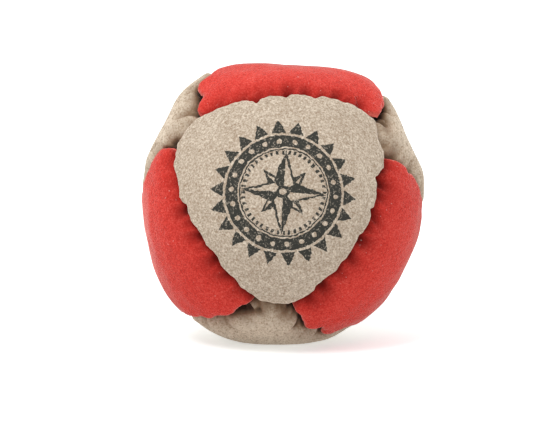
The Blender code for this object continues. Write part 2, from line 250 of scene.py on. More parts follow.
# Where the hand-filled cover swells or sinks: the place, the height and how far it spreads, in mm
SWELLS = (
    ((-0.54, 0.81, -0.2), 1.0, 3.3),
    ((-0.01, 0.82, -0.57), 0.7, 4),
    ((0.51, 0.51, -0.7), -0.4, 4.5),
    ((0.86, -0.11, -0.5), 1.2, 4),
    ((0.84, -0.51, -0.21), 0.5, 3.5),
    ((0.57, -0.8, 0.18), -0.35, 3.5),
    ((0.2, -0.86, 0.47), 0.6, 4.5),
    ((0.8, -0.59, -0.12), 0.25, 3),
    ((-0.85, 0.47, 0.24), -0.4, 4),
)

# Wrinkles in the face of a panel, as lines between two places: their depth, or height where it is less
# than zero, and their half width, in millimetres
WRINKLES = {
    "tan_front": (
        ((0.277, 0.96, 0.036), (0.046, 0.998, 0.05), 0.13, 0.5),
        ((0.212, 0.974, 0.08), (0.073, 0.993, 0.089), 0.11, 0.5),
        ((0.408, 0.912, 0.046), (0.231, 0.971, 0.065), 0.1, 0.5),
        ((0.802, 0.597, -0.011), (0.802, 0.597, -0.01), 0.4, 0.35)),
    "tan_left": (
        ((0.87, 0.03, -0.49), (0.975, 0.035, -0.22), 0.8, 0.8),
        ((0.85, 0.027, -0.526), (0.867, -0.034, -0.498), 0.9, 0.5),
        ((0.867, -0.034, -0.498), (0.872, -0.06, -0.485), 0.6, 0.5),
        ((0.981, 0.027, -0.193), (0.967, -0.124, -0.223), 0.5, 0.9),
        ((0.83, 0.05, -0.56), (0.76, 0.06, -0.647), -1.0, 1.3),
        ((0.91, -0.393, -0.131), (0.853, -0.499, -0.154), 0.5, 0.7),
        ((0.974, -0.163, -0.158), (0.99, 0.0, -0.09), -0.45, 0.9),
        ((0.998, -0.054, 0.014), (0.985, -0.172, -0.003), 0.8, 0.6)),
    "tan_right": (
        ((-0.01, 0.88, -0.47), (-0.01, 0.974, -0.225), 0.5, 1.0),
        ((-0.045, 0.971, -0.234), (-0.072, 0.992, -0.106), 0.45, 1.2),
        ((-0.1, 0.995, 0.01), (-0.134, 0.99, 0.048), 0.4, 0.7)),
    "tan_bottom": (
        ((0.04, -0.43, 0.9), (0.035, -0.31, 0.95), 0.9, 0.8),
        ((0.035, -0.31, 0.95), (0.01, -0.21, 0.978), 1.0, 0.8),
        ((0.01, -0.21, 0.978), (-0.015, -0.16, 0.987), 0.8, 0.6),
        ((-0.02, -0.09, 0.995), (-0.062, -0.134, 0.989), -0.2, 0.5),
        ((0.03, -0.5, 0.866), (-0.075, -0.465, 0.882), 0.22, 0.4),
        ((0.024, -0.528, 0.849), (-0.062, -0.533, 0.844), -0.25, 0.5),
        ((-0.265, 0.045, 0.963), (-0.311, -0.044, 0.949), 1.0, 0.5),
        ((-0.045, -0.013, 0.999), (-0.072, -0.029, 0.997), 0.35, 0.45),
        ((-0.075, 0.019, 0.997), (-0.095, 0.003, 0.995), 0.35, 0.45),
        ((-0.098, 0.057, 0.994), (-0.134, 0.038, 0.99), 0.35, 0.45)),
}

# Each seam that shows: how far the upper panel's edge reaches over it in millimetres, at shares of its
# length, and the puckers that its stitches pull into the lower panel, by share, depth and lean
SEWN_EDGES = {
    ("tan_front", "red_top"): (
        (0, -0.2), (0.06, 0.1), (0.12, 0.35), (0.20, 0.45), (0.245, 0.45), (0.30, -0.25), (0.335, -1.2),
        (0.36, -0.1), (0.41, 0.3), (0.45, 0.05), (0.49, -0.45), (0.52, 0.4), (0.55, 0.45), (0.59, 0.55),
        (0.62, 0.2), (0.655, -0.2), (0.70, 0.7), (0.73, 0.7), (0.76, 0.5), (0.80, 0.6), (0.84, 0.3),
        (0.88, 0.7), (0.93, 0.65), (0.97, 0.4), (1, 0.1)),
    ("tan_front", "red_left"): (
        (0, -0.4), (0.04, -0.3), (0.08, 0.2), (0.12, 0.5), (0.17, 0.3), (0.22, 0.6), (0.26, 0.75),
        (0.32, 0.2), (0.35, 0.2), (0.40, 0.6), (0.46, 0.15), (0.50, 0.25), (0.55, 0.45), (0.59, 0.2),
        (0.64, -0.4), (0.68, 0.4), (0.70, 0.5), (0.74, 0.1), (0.80, -0.2), (0.89, 0.35), (0.94, -0.1),
        (0.98, -0.4), (1, -0.3)),
    ("tan_front", "red_right"): (
        (0, -0.3), (0.04, 0.15), (0.08, 0.6), (0.12, 0.05), (0.17, -0.7), (0.20, -0.1), (0.26, 0.6),
        (0.31, 0.55), (0.34, 0.0), (0.37, 0.7), (0.41, 0.9), (0.46, 0.6), (0.49, 0.2), (0.54, 0.3),
        (0.60, 0.6), (0.65, 0.5), (0.71, 0.85), (0.78, 0.35), (0.83, 0.15), (0.86, 0.7), (0.91, 0.65),
        (0.96, 0.1), (1, -0.3)),
    ("tan_left", "red_top"): (
        (0, -0.1), (0.06, 0.3), (0.11, 0), (0.17, 0.5), (0.23, 0.1), (0.30, 0.6), (0.37, 0.1), (0.44, 0.5),
        (0.50, 0.1), (0.57, 0.6), (0.60, 0.1), (0.63, 0.3), (0.665, 0.35), (0.70, 1.0), (0.735, 1.8),
        (0.765, 1.75), (0.80, 1.0), (0.83, 0.2), (0.85, -0.1), (0.875, 0.2), (0.91, 0.75), (0.945, 0.75),
        (0.975, 0.3), (1, 0)),
    ("tan_right", "red_top"): (
        (0, 0.1), (0.02, 0.1), (0.045, 0.15), (0.065, 1.2), (0.09, 1.8), (0.15, 1.9), (0.22, 2.1),
        (0.30, 1.2), (0.37, 0.3), (0.43, 0.6), (0.50, 0.1), (0.57, 0.6), (0.64, 0.1), (0.71, 0.6),
        (0.78, 0.1), (0.85, 0.5), (0.92, 0.1), (0.96, 0.2), (1, -0.1)),
    ("tan_left", "red_left"): (
        (0, 0.0), (0.02, 0.7), (0.06, 1.1), (0.12, 2.1), (0.16, 2.3), (0.21, 1.3), (0.26, 0.5),
        (0.33, 0.3), (0.40, 0.1), (0.46, 0.6), (0.53, 0.1), (0.60, 0.6), (0.67, 0.1), (0.74, 0.5),
        (0.81, 0.1), (0.88, 0.5), (0.94, 0.1), (1, -0.1)),
    ("tan_right", "red_right"): (
        (0, -0.1), (0.07, 0.4), (0.14, 0.1), (0.21, 0.5), (0.28, 0.1), (0.35, 0.6), (0.42, 0.1),
        (0.49, 0.6), (0.56, 0.3), (0.63, 1.1), (0.70, 1.2), (0.77, 1.3), (0.80, 1.1), (0.84, 0.5),
        (0.87, 0.9), (0.91, 0.6), (0.95, -0.1), (0.97, -0.2), (1, -0.1)),
    ("tan_bottom", "red_left"): (
        (0, -0.1), (0.07, 0.4), (0.14, 0.1), (0.22, 0.6), (0.30, 0.2), (0.38, 0.6), (0.48, 0.4),
        (0.54, 0.15), (0.60, -0.2), (0.65, 0.6), (0.71, 0.2), (0.78, 0.75), (0.81, 0.7), (0.85, 0.15),
        (0.88, -0.2), (0.91, -0.35), (0.94, -0.1), (0.97, 0.1), (1, -0.1)),
    ("tan_bottom", "red_right"): (
        (0, 0.1), (0.02, 0.65), (0.05, 0.55), (0.10, 0.4), (0.15, 1.1), (0.20, 1.7), (0.235, 1.2),
        (0.27, -0.1), (0.31, 0.4), (0.35, 1.9), (0.39, 1.9), (0.42, 0.8), (0.45, 0.0), (0.52, 0.2),
        (0.60, 0.3), (0.67, 0.6), (0.74, 0.1), (0.81, 0.5), (0.88, 0.1), (0.94, 0.3), (1, -0.1)),
    ("tan_front", "tan_left"): ((0, -0.1), (0.3, 0.1), (0.55, 0.3), (0.8, 0.1), (1, -0.1)),
    ("tan_front", "tan_right"): ((0, 0.4), (0.15, 0.9), (0.35, 0.6), (0.5, 0.1), (0.7, -0.4), (0.9, -0.5),
                                 (1, -0.3)),
    ("tan_front", "tan_bottom"): ((0, -0.1), (0.3, 0.1), (0.5, 0.2), (0.8, 0.1), (1, -0.1)),
}
PUCKERS = {
    ("tan_front", "red_top"): (
        (0.10, 0.35, 0.2), (0.25, 0.3, 0), (0.337, 0.4, 0.1), (0.41, 0.3, -0.2), (0.495, 1.0, 0.1),
        (0.605, 0.9, -0.1), (0.70, 0.35, 0.2), (0.785, 0.9, 0.2), (0.87, 0.3, 0), (0.95, 0.8, -0.1)),
    ("tan_front", "red_left"): (
        (0.08, 0.3, 0.1), (0.196, 0.7, 0.2), (0.26, 0.3, 0), (0.318, 0.9, -0.2), (0.39, 0.3, 0.1),
        (0.455, 1.0, 0.2), (0.55, 0.5, 0), (0.637, 1.1, -0.1), (0.72, 0.25, 0.1), (0.80, 0.35, 0),
        (0.92, 0.25, 0.2)),
    ("tan_front", "red_right"): (
        (0.04, 0.4, 0), (0.155, 1.0, 0.1), (0.221, 0.8, 0), (0.333, 0.9, 0.3), (0.42, 0.3, 0),
        (0.503, 1.1, -0.2), (0.60, 0.8, 0.1), (0.70, 0.4, 0), (0.813, 1.1, 0.1), (0.92, 0.7, -0.2)),
    ("tan_left", "red_top"): (
        (0.05, 0.4, 0), (0.15, 0.9, 0.2), (0.25, 0.5, -0.2), (0.36, 0.9, 0.1), (0.46, 0.4, 0.3),
        (0.56, 0.8, -0.2), (0.65, 0.6, 0.1), (0.74, 0.8, 0), (0.81, 0.9, 0.2), (0.86, 1.1, 0.3),
        (0.93, 0.6, -0.2)),
    ("tan_right", "red_top"): (
        (0.05, 1.1, 0.2), (0.12, 0.7, -0.1), (0.20, 0.8, 0.2), (0.29, 0.5, 0), (0.38, 0.9, 0.2),
        (0.48, 0.4, -0.2), (0.57, 0.9, 0.1), (0.66, 0.5, 0.2), (0.76, 0.9, -0.1), (0.85, 0.5, 0),
        (0.94, 0.7, 0.2)),
    ("tan_left", "red_left"): (
        (0.03, 0.8, 0.2), (0.085, 0.9, -0.2), (0.15, 0.6, 0.3), (0.21, 0.9, 0), (0.30, 0.5, 0.2),
        (0.39, 0.9, -0.1), (0.49, 0.4, 0.2), (0.58, 0.9, 0), (0.68, 0.5, -0.2), (0.77, 0.9, 0.1),
        (0.87, 0.5, 0), (0.95, 0.8, 0.2)),
    ("tan_right", "red_right"): (
        (0.05, 0.7, 0), (0.15, 0.5, 0.2), (0.25, 0.9, -0.1), (0.35, 0.4, 0.2), (0.44, 0.9, 0),
        (0.54, 0.5, -0.2), (0.64, 0.9, 0.2), (0.73, 0.6, 0), (0.81, 0.9, -0.1), (0.86, 0.5, 0.2),
        (0.93, 1.0, 0)),
    ("tan_bottom", "red_left"): (
        (0.05, 0.6, 0), (0.15, 0.9, 0.2), (0.25, 0.4, -0.2), (0.35, 0.8, 0.1), (0.45, 0.5, 0),
        (0.54, 0.9, -0.2), (0.61, 0.7, 0.2), (0.70, 0.9, 0.1), (0.76, 0.5, -0.1), (0.84, 1.1, 0.2),
        (0.90, 0.8, -0.2), (0.97, 0.9, 0)),
    ("tan_bottom", "red_right"): (
        (0.03, 1.0, 0.2), (0.09, 0.8, -0.2), (0.17, 0.7, 0.2), (0.26, 1.1, 0), (0.33, 0.6, 0.2),
        (0.43, 1.0, -0.1), (0.52, 0.5, 0.2), (0.62, 0.9, 0), (0.72, 0.4, -0.2), (0.82, 0.8, 0.1),
        (0.92, 0.6, 0)),
}

# The edges and puckers that the photograph doesn't show are uneven in the same way
HIDDEN_WAVE_LENGTH = 2.4 * MM
HIDDEN_WAVE_SHIFT = 0.2
HIDDEN_REACHES = ((0.0, 0.2), (0.4, 0.8))
HIDDEN_PUCKER_SPACING = 3.4 * MM
HIDDEN_PUCKER_SHIFT = 0.15
HIDDEN_PUCKER = (0.4, 1.0)
HIDDEN_LEAN = (-0.25, 0.25)

# The edge on top rolls over and tucks under; the lower panel slopes down and slips beneath it
ROLL_WIDTH = 0.95 * MM
ROLL_HEIGHT = 1.0 * MM
TUCK_DEPTH = 0.4 * MM
RED_SLOPE = (4.2 * MM, 2.7 * MM)
TAN_SLOPE = (3.2 * MM, 3.0 * MM)
SHELF_DEPTH = 3.7 * MM
LEAST_TURN_IN = 0.4 * MM
SHELF_REACH = 0.5 * MM
CORNER_OVERLAP = -0.1
CORNER_BLEND = 2.4 * MM
OVERLAP_FADE = (1.2 * MM, 6.6 * MM)
FADE_TRIES = 8
CREASE_BLEND = 5
PUCKER_DEPTH = 1.7 * MM
PUCKER_WIDTH = 0.48 * MM
PUCKER_SPREAD = 0.25
PUCKER_REACH = 3.8 * MM
DIMPLE_DEPTH = 0.15 * MM
DIMPLE_WIDTH = 0.5 * MM
DIMPLE_REACH = 0.8 * MM
LUMP_HEIGHT = 0.055 * MM
LUMP_SIZES = (3.5 * MM, 7.5 * MM)
LUMP_COUNT = 28
LUMP_SEED = 11
WAVER_HEIGHT = 0.06 * MM
WAVER_SIZES = (0.7 * MM, 1.6 * MM)
WAVER_COUNT = 12
WAVER_SEED = 12

# Where each panel's rows of points lie: columns to a side, steps in from the edge, turns of the roll and
# of the tuck with each tuck ring's painted shade and painted highlight, and steps down the turned-in edge
# and across the lining
COLUMNS = {"long": 128, "short": 16}
EDGE_STEPS = tuple(step * MM for step in (
    6.6, 6.1, 5.6, 5.1, 4.6, 4.2, 3.8, 3.4, 3.05, 2.7, 2.4, 2.1, 1.8, 1.5, 1.2, 0.95))
ROLL_TURNS = tuple(math.radians(turn) for turn in (10, 20, 30, 41, 52, 63, 74, 82, 90))
TUCK_TURNS = ((math.radians(35), 0.2, 0.9), (math.radians(65), 0.8, 0.4), (math.radians(90), 1.2, 0))
RING_SPACING = 0.42 * MM
INNER_SPACING = 1.6 * MM
WIDEST_SPACING_SHARE = 1.3
INNER_STEPS = tuple(step * MM for step in (1.15, 2.3, 3.6, 5.0, 6.6))
FLANGE_STEPS = (0.35, 0.7, 1.0)
LINING_GAP = 0.4 * MM
LINING_SLACK = 1.2 * MM
LEAST_TUCK = 0.1

# How worn the suede is near its edges, with a painted highlight there, and the painted shade near them. A
# shade is the painted shade's strength and reach where an edge dips under another, and the strength of the
# painted dark crack there.
EDGE_SHINE_REACH = 0.28 * MM
UNDER_EDGE_SHADE = 2
TURNED_EDGE_SHADE = 1.0
RED_SHADE = (1.5, 1.3 * MM, 0.3)
TAN_SHADE = (1.0, 0.6 * MM, 1.9)
CRACK_SHADE_REACH = 0.7 * MM
TAN_TO_TAN_SHARE = 0.5
WRINKLE_SHADE = 1.6
PUCKER_SHADE = 1.6

# The flat layout of a panel, and the stitches' places
UV_REACH = 31 * MM
UV_OUTSIDE = ((0.425, 0.575), 0.42)
UV_INSIDE = ((0.865, 0.135), 0.13)
NEEDLE_HOLE_HEIGHT = 1.9 * MM
NEEDLE_HOLE_WIDTH = 0.6 * MM
SEAM_MARGINS = {"long": 0.0028, "short": 0.0020}
MITRE_SPREAD_SHARE = 2.5
STITCH_PITCH = 0.0032
STITCH_DEPTH = 0.0013


def unit(rows):
    """The rows, each with a length of 1."""
    return rows / np.linalg.norm(rows, axis=-1, keepdims=True)


def octahedron_axes():
    """Directions of the front panel's upper left, upper right and lower corners, in rows."""
    tilt = math.radians(FRONT_TILT)
    front = np.array((0, -math.cos(tilt), math.sin(tilt)))
    side = np.array((1.0, 0, 0))
    rise = np.cross(side, -front)
    lean = math.acos(1 / math.sqrt(3))
    rows = []
    for corner in FRONT_CORNER_TURNS:
        turn = math.radians(corner + PATTERN_ROLL)
        outward = side * math.cos(turn) + rise * math.sin(turn)
        rows.append(front * math.cos(lean) + outward * math.sin(lean))
    return np.array(rows)


AXES = octahedron_axes()


def true_direction(places):
    """Directions of places that are given along the octahedron's axes."""
    return unit(np.asarray(places, float) @ AXES)


def pulled_direction(places):
    """The same, after the sewing has pulled the seams off their true lines."""
    directions = true_direction(places)
    pulled = directions.copy()
    for place, towards, share in SEAM_PULL_SHARES:
        centre = true_direction(place)
        way = true_direction(PANELS[towards]) - centre
        way -= centre * way.dot(centre)
        away = np.linalg.norm(directions - centre, axis=-1) * BAG_RADIUS / SEAM_PULL_REACH
        move = share * SEAM_PULL / BAG_RADIUS * np.exp(-away ** 2 / 2)
        pulled += move[..., None] * unit(way)
    return unit(pulled)


def cosine_waves(seed, count, sizes):
    """A fixed set of waves through space, whose sum is a smooth random unevenness."""
    random = np.random.default_rng(seed)
    ways = unit(random.normal(size=(count, 3)))
    lengths = random.uniform(*sizes, size=(count, 1))
    phases = random.uniform(0, 2 * math.pi, size=count)
    return ways * 2 * math.pi / lengths, phases


def unevenness(points, waves):
    """The waves' sum at each point, about 1 at its strongest."""
    ways, phases = waves
    return np.cos(points @ ways.T + phases).sum(-1) / math.sqrt(len(phases))


PELLET_LUMPS = cosine_waves(LUMP_SEED, LUMP_COUNT, LUMP_SIZES)
EDGE_WAVER = cosine_waves(WAVER_SEED, WAVER_COUNT, WAVER_SIZES)


def bag_radius(directions):
    """Distance from the middle of the ball to the cover, before the seams' grooves. The foot is flat."""
    radius = BAG_RADIUS + LUMP_HEIGHT * unevenness(directions * BAG_RADIUS, PELLET_LUMPS)
    for (first, second), share in SHOULDER_SHARES.items():
        top = true_direction(np.add(PANELS[first], PANELS[second]))
        away = np.linalg.norm(directions - top, axis=-1) * BAG_RADIUS / SHOULDER_REACH
        radius = radius + share * SHOULDER_HEIGHT * np.exp(-away ** 2 / 2)
    for place, height, spread in SWELLS:
        away = np.linalg.norm(directions - true_direction(place), axis=-1) * BAG_RADIUS / (spread * MM)
        radius = radius + height * MM * np.exp(-away ** 2 / 2)
    down = np.minimum(directions[..., 2], -1e-6)
    to_floor = SIT_HEIGHT / -down
    near = np.clip(FOOT_ROUNDING - abs(radius - to_floor), 0, None) / FOOT_ROUNDING
    seated = np.minimum(radius, to_floor) - near ** 2 * FOOT_ROUNDING / 4
    return np.where(directions[..., 2] < 0, seated, radius)


REACH = TAN_REACH / BAG_RADIUS
FIRST_TURN = math.asin(REACH / math.sqrt(1 - REACH ** 2))
SEAM_LENGTHS = {
    "long": math.sqrt(1 - REACH ** 2) * (math.pi / 2 - 2 * FIRST_TURN) * BAG_RADIUS,
    "short": 2 * math.sqrt(2) * TAN_REACH,
}


def smooth_step(share):
    """From 0 to 1, slow at both ends."""
    share = np.clip(share, 0, 1)
    return share * share * (3 - 2 * share)


def corner_shift(kind, share, at_corner):
    """How far a point near a seam's end moves along it, to leave room for the corner's mitre."""
    length = SEAM_LENGTHS[kind]
    fan = np.maximum(SEAM_MARGINS[kind], MITRE_SPREAD_SHARE * abs(at_corner))
    from_start = np.clip(1 - share * length / fan, 0, None)
    from_end = np.clip(1 - (1 - share) * length / fan, 0, None)
    return at_corner * (from_start - from_end)


class Seam:
    """One seam between two panels: how the edge on top runs, and what its stitches pull in."""

    def __init__(self, first, second):
        self.first, self.second = first, second
        differing = [k for k in range(3) if PANELS[first][k] != PANELS[second][k]]
        if len(differing) == 1:
            self.side = ("long", (differing[0] + 1) % 3)
        else:
            self.side = ("short", ({0, 1, 2} - set(differing)).pop())
        self.upper = min(first, second, key=PROUDEST_FIRST.index)
        self.length = SEAM_LENGTHS[self.side[0]]
        self.random = np.random.default_rng(sum(map(ord, first + second)))
        self.edge = np.array(SEWN_EDGES.get((first, second)) or self.hidden_edge())
        self.puckers = PUCKERS.get((first, second)) or self.hidden_puckers()

    def hidden_edge(self):
        """The line of an upper edge that the photograph doesn't show."""
        count = max(1, round(self.length / HIDDEN_WAVE_LENGTH / 2)) * 2
        line = [(0, CORNER_OVERLAP)]
        for n in range(1, count):
            share = (n + self.random.uniform(-HIDDEN_WAVE_SHIFT, HIDDEN_WAVE_SHIFT)) / count
            reach = self.random.uniform(*HIDDEN_REACHES[n % 2])
            line.append((share, reach * self.length / SEAM_LENGTHS["long"]))
        return line + [(1, CORNER_OVERLAP)]

    def hidden_puckers(self):
        """Puckers that the photograph doesn't show."""
        count = max(1, round(self.length / HIDDEN_PUCKER_SPACING))
        puckers = []
        for n in range(count):
            share = (n + 0.5 + self.random.uniform(-HIDDEN_PUCKER_SHIFT, HIDDEN_PUCKER_SHIFT)) / count
            strength = self.random.uniform(*HIDDEN_PUCKER)
            puckers.append((share, strength, self.random.uniform(*HIDDEN_LEAN)))
        return puckers

    def stitch_shares(self):
        """Where the seam's stitches are, as shares of its length."""
        margin = SEAM_MARGINS[self.side[0]]
        gaps = round((self.length - 2 * margin) / STITCH_PITCH)
        return np.linspace(margin, self.length - margin, gaps + 1) / self.length

    def overlap(self, share):
        """How far the upper panel's edge reaches over the seam at each share of its length."""
        shares, reaches = self.edge.T
        at = np.clip(np.searchsorted(shares, share, side="right") - 1, 0, len(shares) - 2)
        way = smooth_step((share - shares[at]) / (shares[at + 1] - shares[at]))
        return (reaches[at] + (reaches[at + 1] - reaches[at]) * way) * MM

    def pucker(self, share, offset):
        """How deep the stitches' puckers are in the lower panel, at an offset from its edge."""
        depth = np.zeros(share.shape)
        offset = np.clip(offset, 0, None)
        width = PUCKER_WIDTH + PUCKER_SPREAD * offset
        for at, strength, lean in self.puckers:
            along = (share - at) * self.length - lean * offset
            depth = np.maximum(depth, strength * np.exp(-(along / width) ** 2 / 2))
        return depth * np.exp(-(offset / PUCKER_REACH) ** 2) * PUCKER_DEPTH

    def dimple(self, share, offset):
        """How far the stitches draw in the upper panel's edge."""
        depth = np.zeros(share.shape)
        for at in self.stitch_shares():
            along = (share - at) * self.length
            depth = np.maximum(depth, np.exp(-(along / DIMPLE_WIDTH) ** 2 / 2))
        return depth * np.exp(-np.clip(offset, 0, None) / DIMPLE_REACH) * DIMPLE_DEPTH


def are_sewn(first, second):
    """Whether two panels share a seam: two tan ones always do, and a tan and a red one side by side."""
    both_tan = np.prod(PANELS[first]) == np.prod(PANELS[second]) == 1
    return both_tan or sum(a != b for a, b in zip(PANELS[first], PANELS[second])) == 1


SEAMS = [Seam(*pair) for pair in itertools.combinations(PANELS, 2) if are_sewn(*pair)]


class Panel:
    """One panel's place on the ball. Its sides run round it in order, each from corner to corner."""

    def __init__(self, name):
        self.name = name
        self.signs = np.array(PANELS[name])
        self.is_tan = self.signs.prod() > 0
        kinds = ("short", "long") if self.is_tan else ("long",)
        self.sides = [(kind, first) for first in range(3) for kind in kinds]
        self.seams = {}
        for seam in SEAMS:
            if name in (seam.first, seam.second):
                self.seams[seam.side] = seam

    def is_upper(self, side):
        """Whether the panel's edge lies on top at a side's seam."""
        return self.seams[side].upper == self.name

    def seam_share(self, side, share):
        """A share of a side's length as its seam counts it."""
        seam = self.seams[side]
        return 1 - share if side[0] == "short" and seam.second == self.name else share

    def uppness(self, side, share):
        """1 where the panel's edge is on top, 0 where it is underneath, evened out at the corners."""
        order, length = self.sides.index(side), SEAM_LENGTHS[side[0]]
        own = float(self.is_upper(side))
        before = float(self.is_upper(self.sides[order - 1]))
        after = float(self.is_upper(self.sides[(order + 1) % len(self.sides)]))
        blend = min(CORNER_BLEND, length / 2)
        near_start = smooth_step(1 - share * length / blend) / 2
        near_end = smooth_step(1 - (1 - share) * length / blend) / 2
        return own + (before - own) * near_start + (after - own) * near_end

    def places(self, side, share, offset):
        """Points on a side, moved into the panel by an offset, along the octahedron's axes."""
        kind, first = side
        second, third = (first + 1) % 3, (first + 2) % 3
        share, offset = np.broadcast_arrays(share, offset)
        inward = offset / BAG_RADIUS
        place = np.zeros(share.shape + (3,))
        if kind == "long":
            height = inward - REACH if self.is_tan else inward + REACH
            corner = REACH + inward * ((math.sqrt(2) - 1) if self.is_tan else 1)
            ring = np.sqrt(1 - height ** 2)
            late = (np.arcsin(corner / ring) - FIRST_TURN) * BAG_RADIUS
            turn = FIRST_TURN + (math.pi / 2 - 2 * FIRST_TURN) * share
            turn = turn + corner_shift(kind, share, late) / BAG_RADIUS
            place[..., first] = ring * np.cos(turn)
            place[..., second] = ring * np.sin(turn)
            place[..., third] = height
        else:
            half = math.sqrt(2) * REACH
            along = half * (2 * share - 1)
            along = along + corner_shift(kind, share, (math.sqrt(2) - 1) * offset) / BAG_RADIUS
            place[..., second] = (inward + along) / math.sqrt(2)
            place[..., third] = (inward - along) / math.sqrt(2)
            place[..., first] = np.sqrt(1 - place[..., second] ** 2 - place[..., third] ** 2)
        return place * self.signs

    def measure(self, places, side):
        """How far places are from one of the panel's sides, and at which share of its length."""
        kind, first = side
        own = places * self.signs
        ahead, across, up = own[..., first], own[..., (first + 1) % 3], own[..., (first + 2) % 3]
        if kind == "short":
            offset = (across + up) / math.sqrt(2) * BAG_RADIUS
            along = (across - up) / math.sqrt(2)
            return offset, (along / (math.sqrt(2) * REACH) + 1) / 2
        offset = up * BAG_RADIUS + (TAN_REACH if self.is_tan else -TAN_REACH)
        return offset, (np.arctan2(across, ahead) - FIRST_TURN) / (math.pi / 2 - 2 * FIRST_TURN)

    def edge_shift(self, side, share):
        """How far the panel's edge in view lies inside its side: less than zero where it overlaps."""
        overlap = self.seams[side].overlap(self.seam_share(side, share))
        up = self.uppness(side, share)
        length = SEAM_LENGTHS[side[0]]
        wobble = WAVER_HEIGHT * unevenness(pulled_direction(self.places(side, share, 0 * share))
                                           * BAG_RADIUS, EDGE_WAVER)
        ends = np.clip(np.minimum(share, 1 - share) * length / CORNER_BLEND, 0, 1)
        overlap = overlap + wobble * ends
        return -up * overlap + (1 - up) * np.clip(overlap, SEAM_FACE, None)

    def depths(self, places, slack=0.0):
        """How far the cover lies below the ball, the painted shade of its folds, and its edge's wear and
        painted highlight.
        The lining's wrinkles are wider by the slack, so that it stays clear of the face's."""
        total, fold, edge = np.zeros((3,) + places.shape[:-1])
        for side in self.sides:
            seam = self.seams[side]
            offset, share = self.measure(places, side)
            inside = np.clip(share, 0, 1)
            shift = self.edge_shift(side, inside)
            from_edge = offset
            for _ in range(FADE_TRIES):
                from_edge = offset - shift * overlap_fade(from_edge)
            up = self.uppness(side, inside)
            roll = np.clip(1 - from_edge / ROLL_WIDTH, 0, 1)
            rolled = ROLL_HEIGHT * (1 - np.sqrt(1 - roll ** 2))
            slope_width, slope_depth = TAN_SLOPE if self.is_tan else RED_SLOPE
            shade, shade_reach, crack_shade = TAN_SHADE if self.is_tan else RED_SHADE
            sloped = slope_depth * np.clip(1 - offset / slope_width, 0, 1) ** 2
            near = np.clip(from_edge, 0, None)
            slip = np.exp(-(near / SHELF_REACH) ** 2)
            sloped = sloped + (SHELF_DEPTH - sloped) * slip
            own_share = self.seam_share(side, inside)
            pucker = seam.pucker(own_share, from_edge) * (1 - up)
            if side[0] == "short":
                pucker, shade, crack_shade = (value * TAN_TO_TAN_SHARE for value in (pucker, shade, crack_shade))
            # Painted shade: the fold shade darkens the colour in puckers, beside an edge on top, and in a
            # dark crack close under it
            fold += PUCKER_SHADE * pucker / PUCKER_DEPTH + (1 - up) * shade * np.exp(-near / shade_reach)
            fold += (1 - up) * crack_shade * np.exp(-(near / CRACK_SHADE_REACH) ** 2)
            # The edge on top gets wear with a painted highlight along its roll
            edge += up * np.exp(-near / EDGE_SHINE_REACH)
            sloped = sloped + pucker * (1 - slip)
            rolled = rolled + seam.dimple(own_share, from_edge)
            depth = up * rolled + (1 - up) * sloped
            total = (total ** CREASE_BLEND + depth ** CREASE_BLEND) ** (1 / CREASE_BLEND)
        sunk, raised = np.zeros((2,) + places.shape[:-1])
        for start, stop, deep, width in WRINKLES.get(self.name, ()):
            along = np.subtract(stop, start)
            at = np.clip((places - start) @ along / (along @ along), 0, 1)
            away = np.linalg.norm(places - start - at[..., None] * along, axis=-1) * BAG_RADIUS
            line = deep * np.exp(-(away / (width * MM + slack)) ** 2)
            sunk, raised = np.maximum(sunk, line), np.minimum(raised, line)
        # The wrinkles' sunken lines also get painted shade
        return total + (sunk + raised) * MM, fold + WRINKLE_SHADE * sunk, edge


def overlap_fade(offset):
    """1 at the edge, 0 where an overlap no longer moves the suede."""
    near, far = OVERLAP_FADE
    return smooth_step((far - offset) / (far - near))


def turn_faces_out(mesh):
    """Turns every face of a closed mesh to its outside."""
    surface = bmesh.new()
    surface.from_mesh(mesh)
    bmesh.ops.recalc_face_normals(surface, faces=surface.faces)
    surface.to_mesh(mesh)
    surface.free()


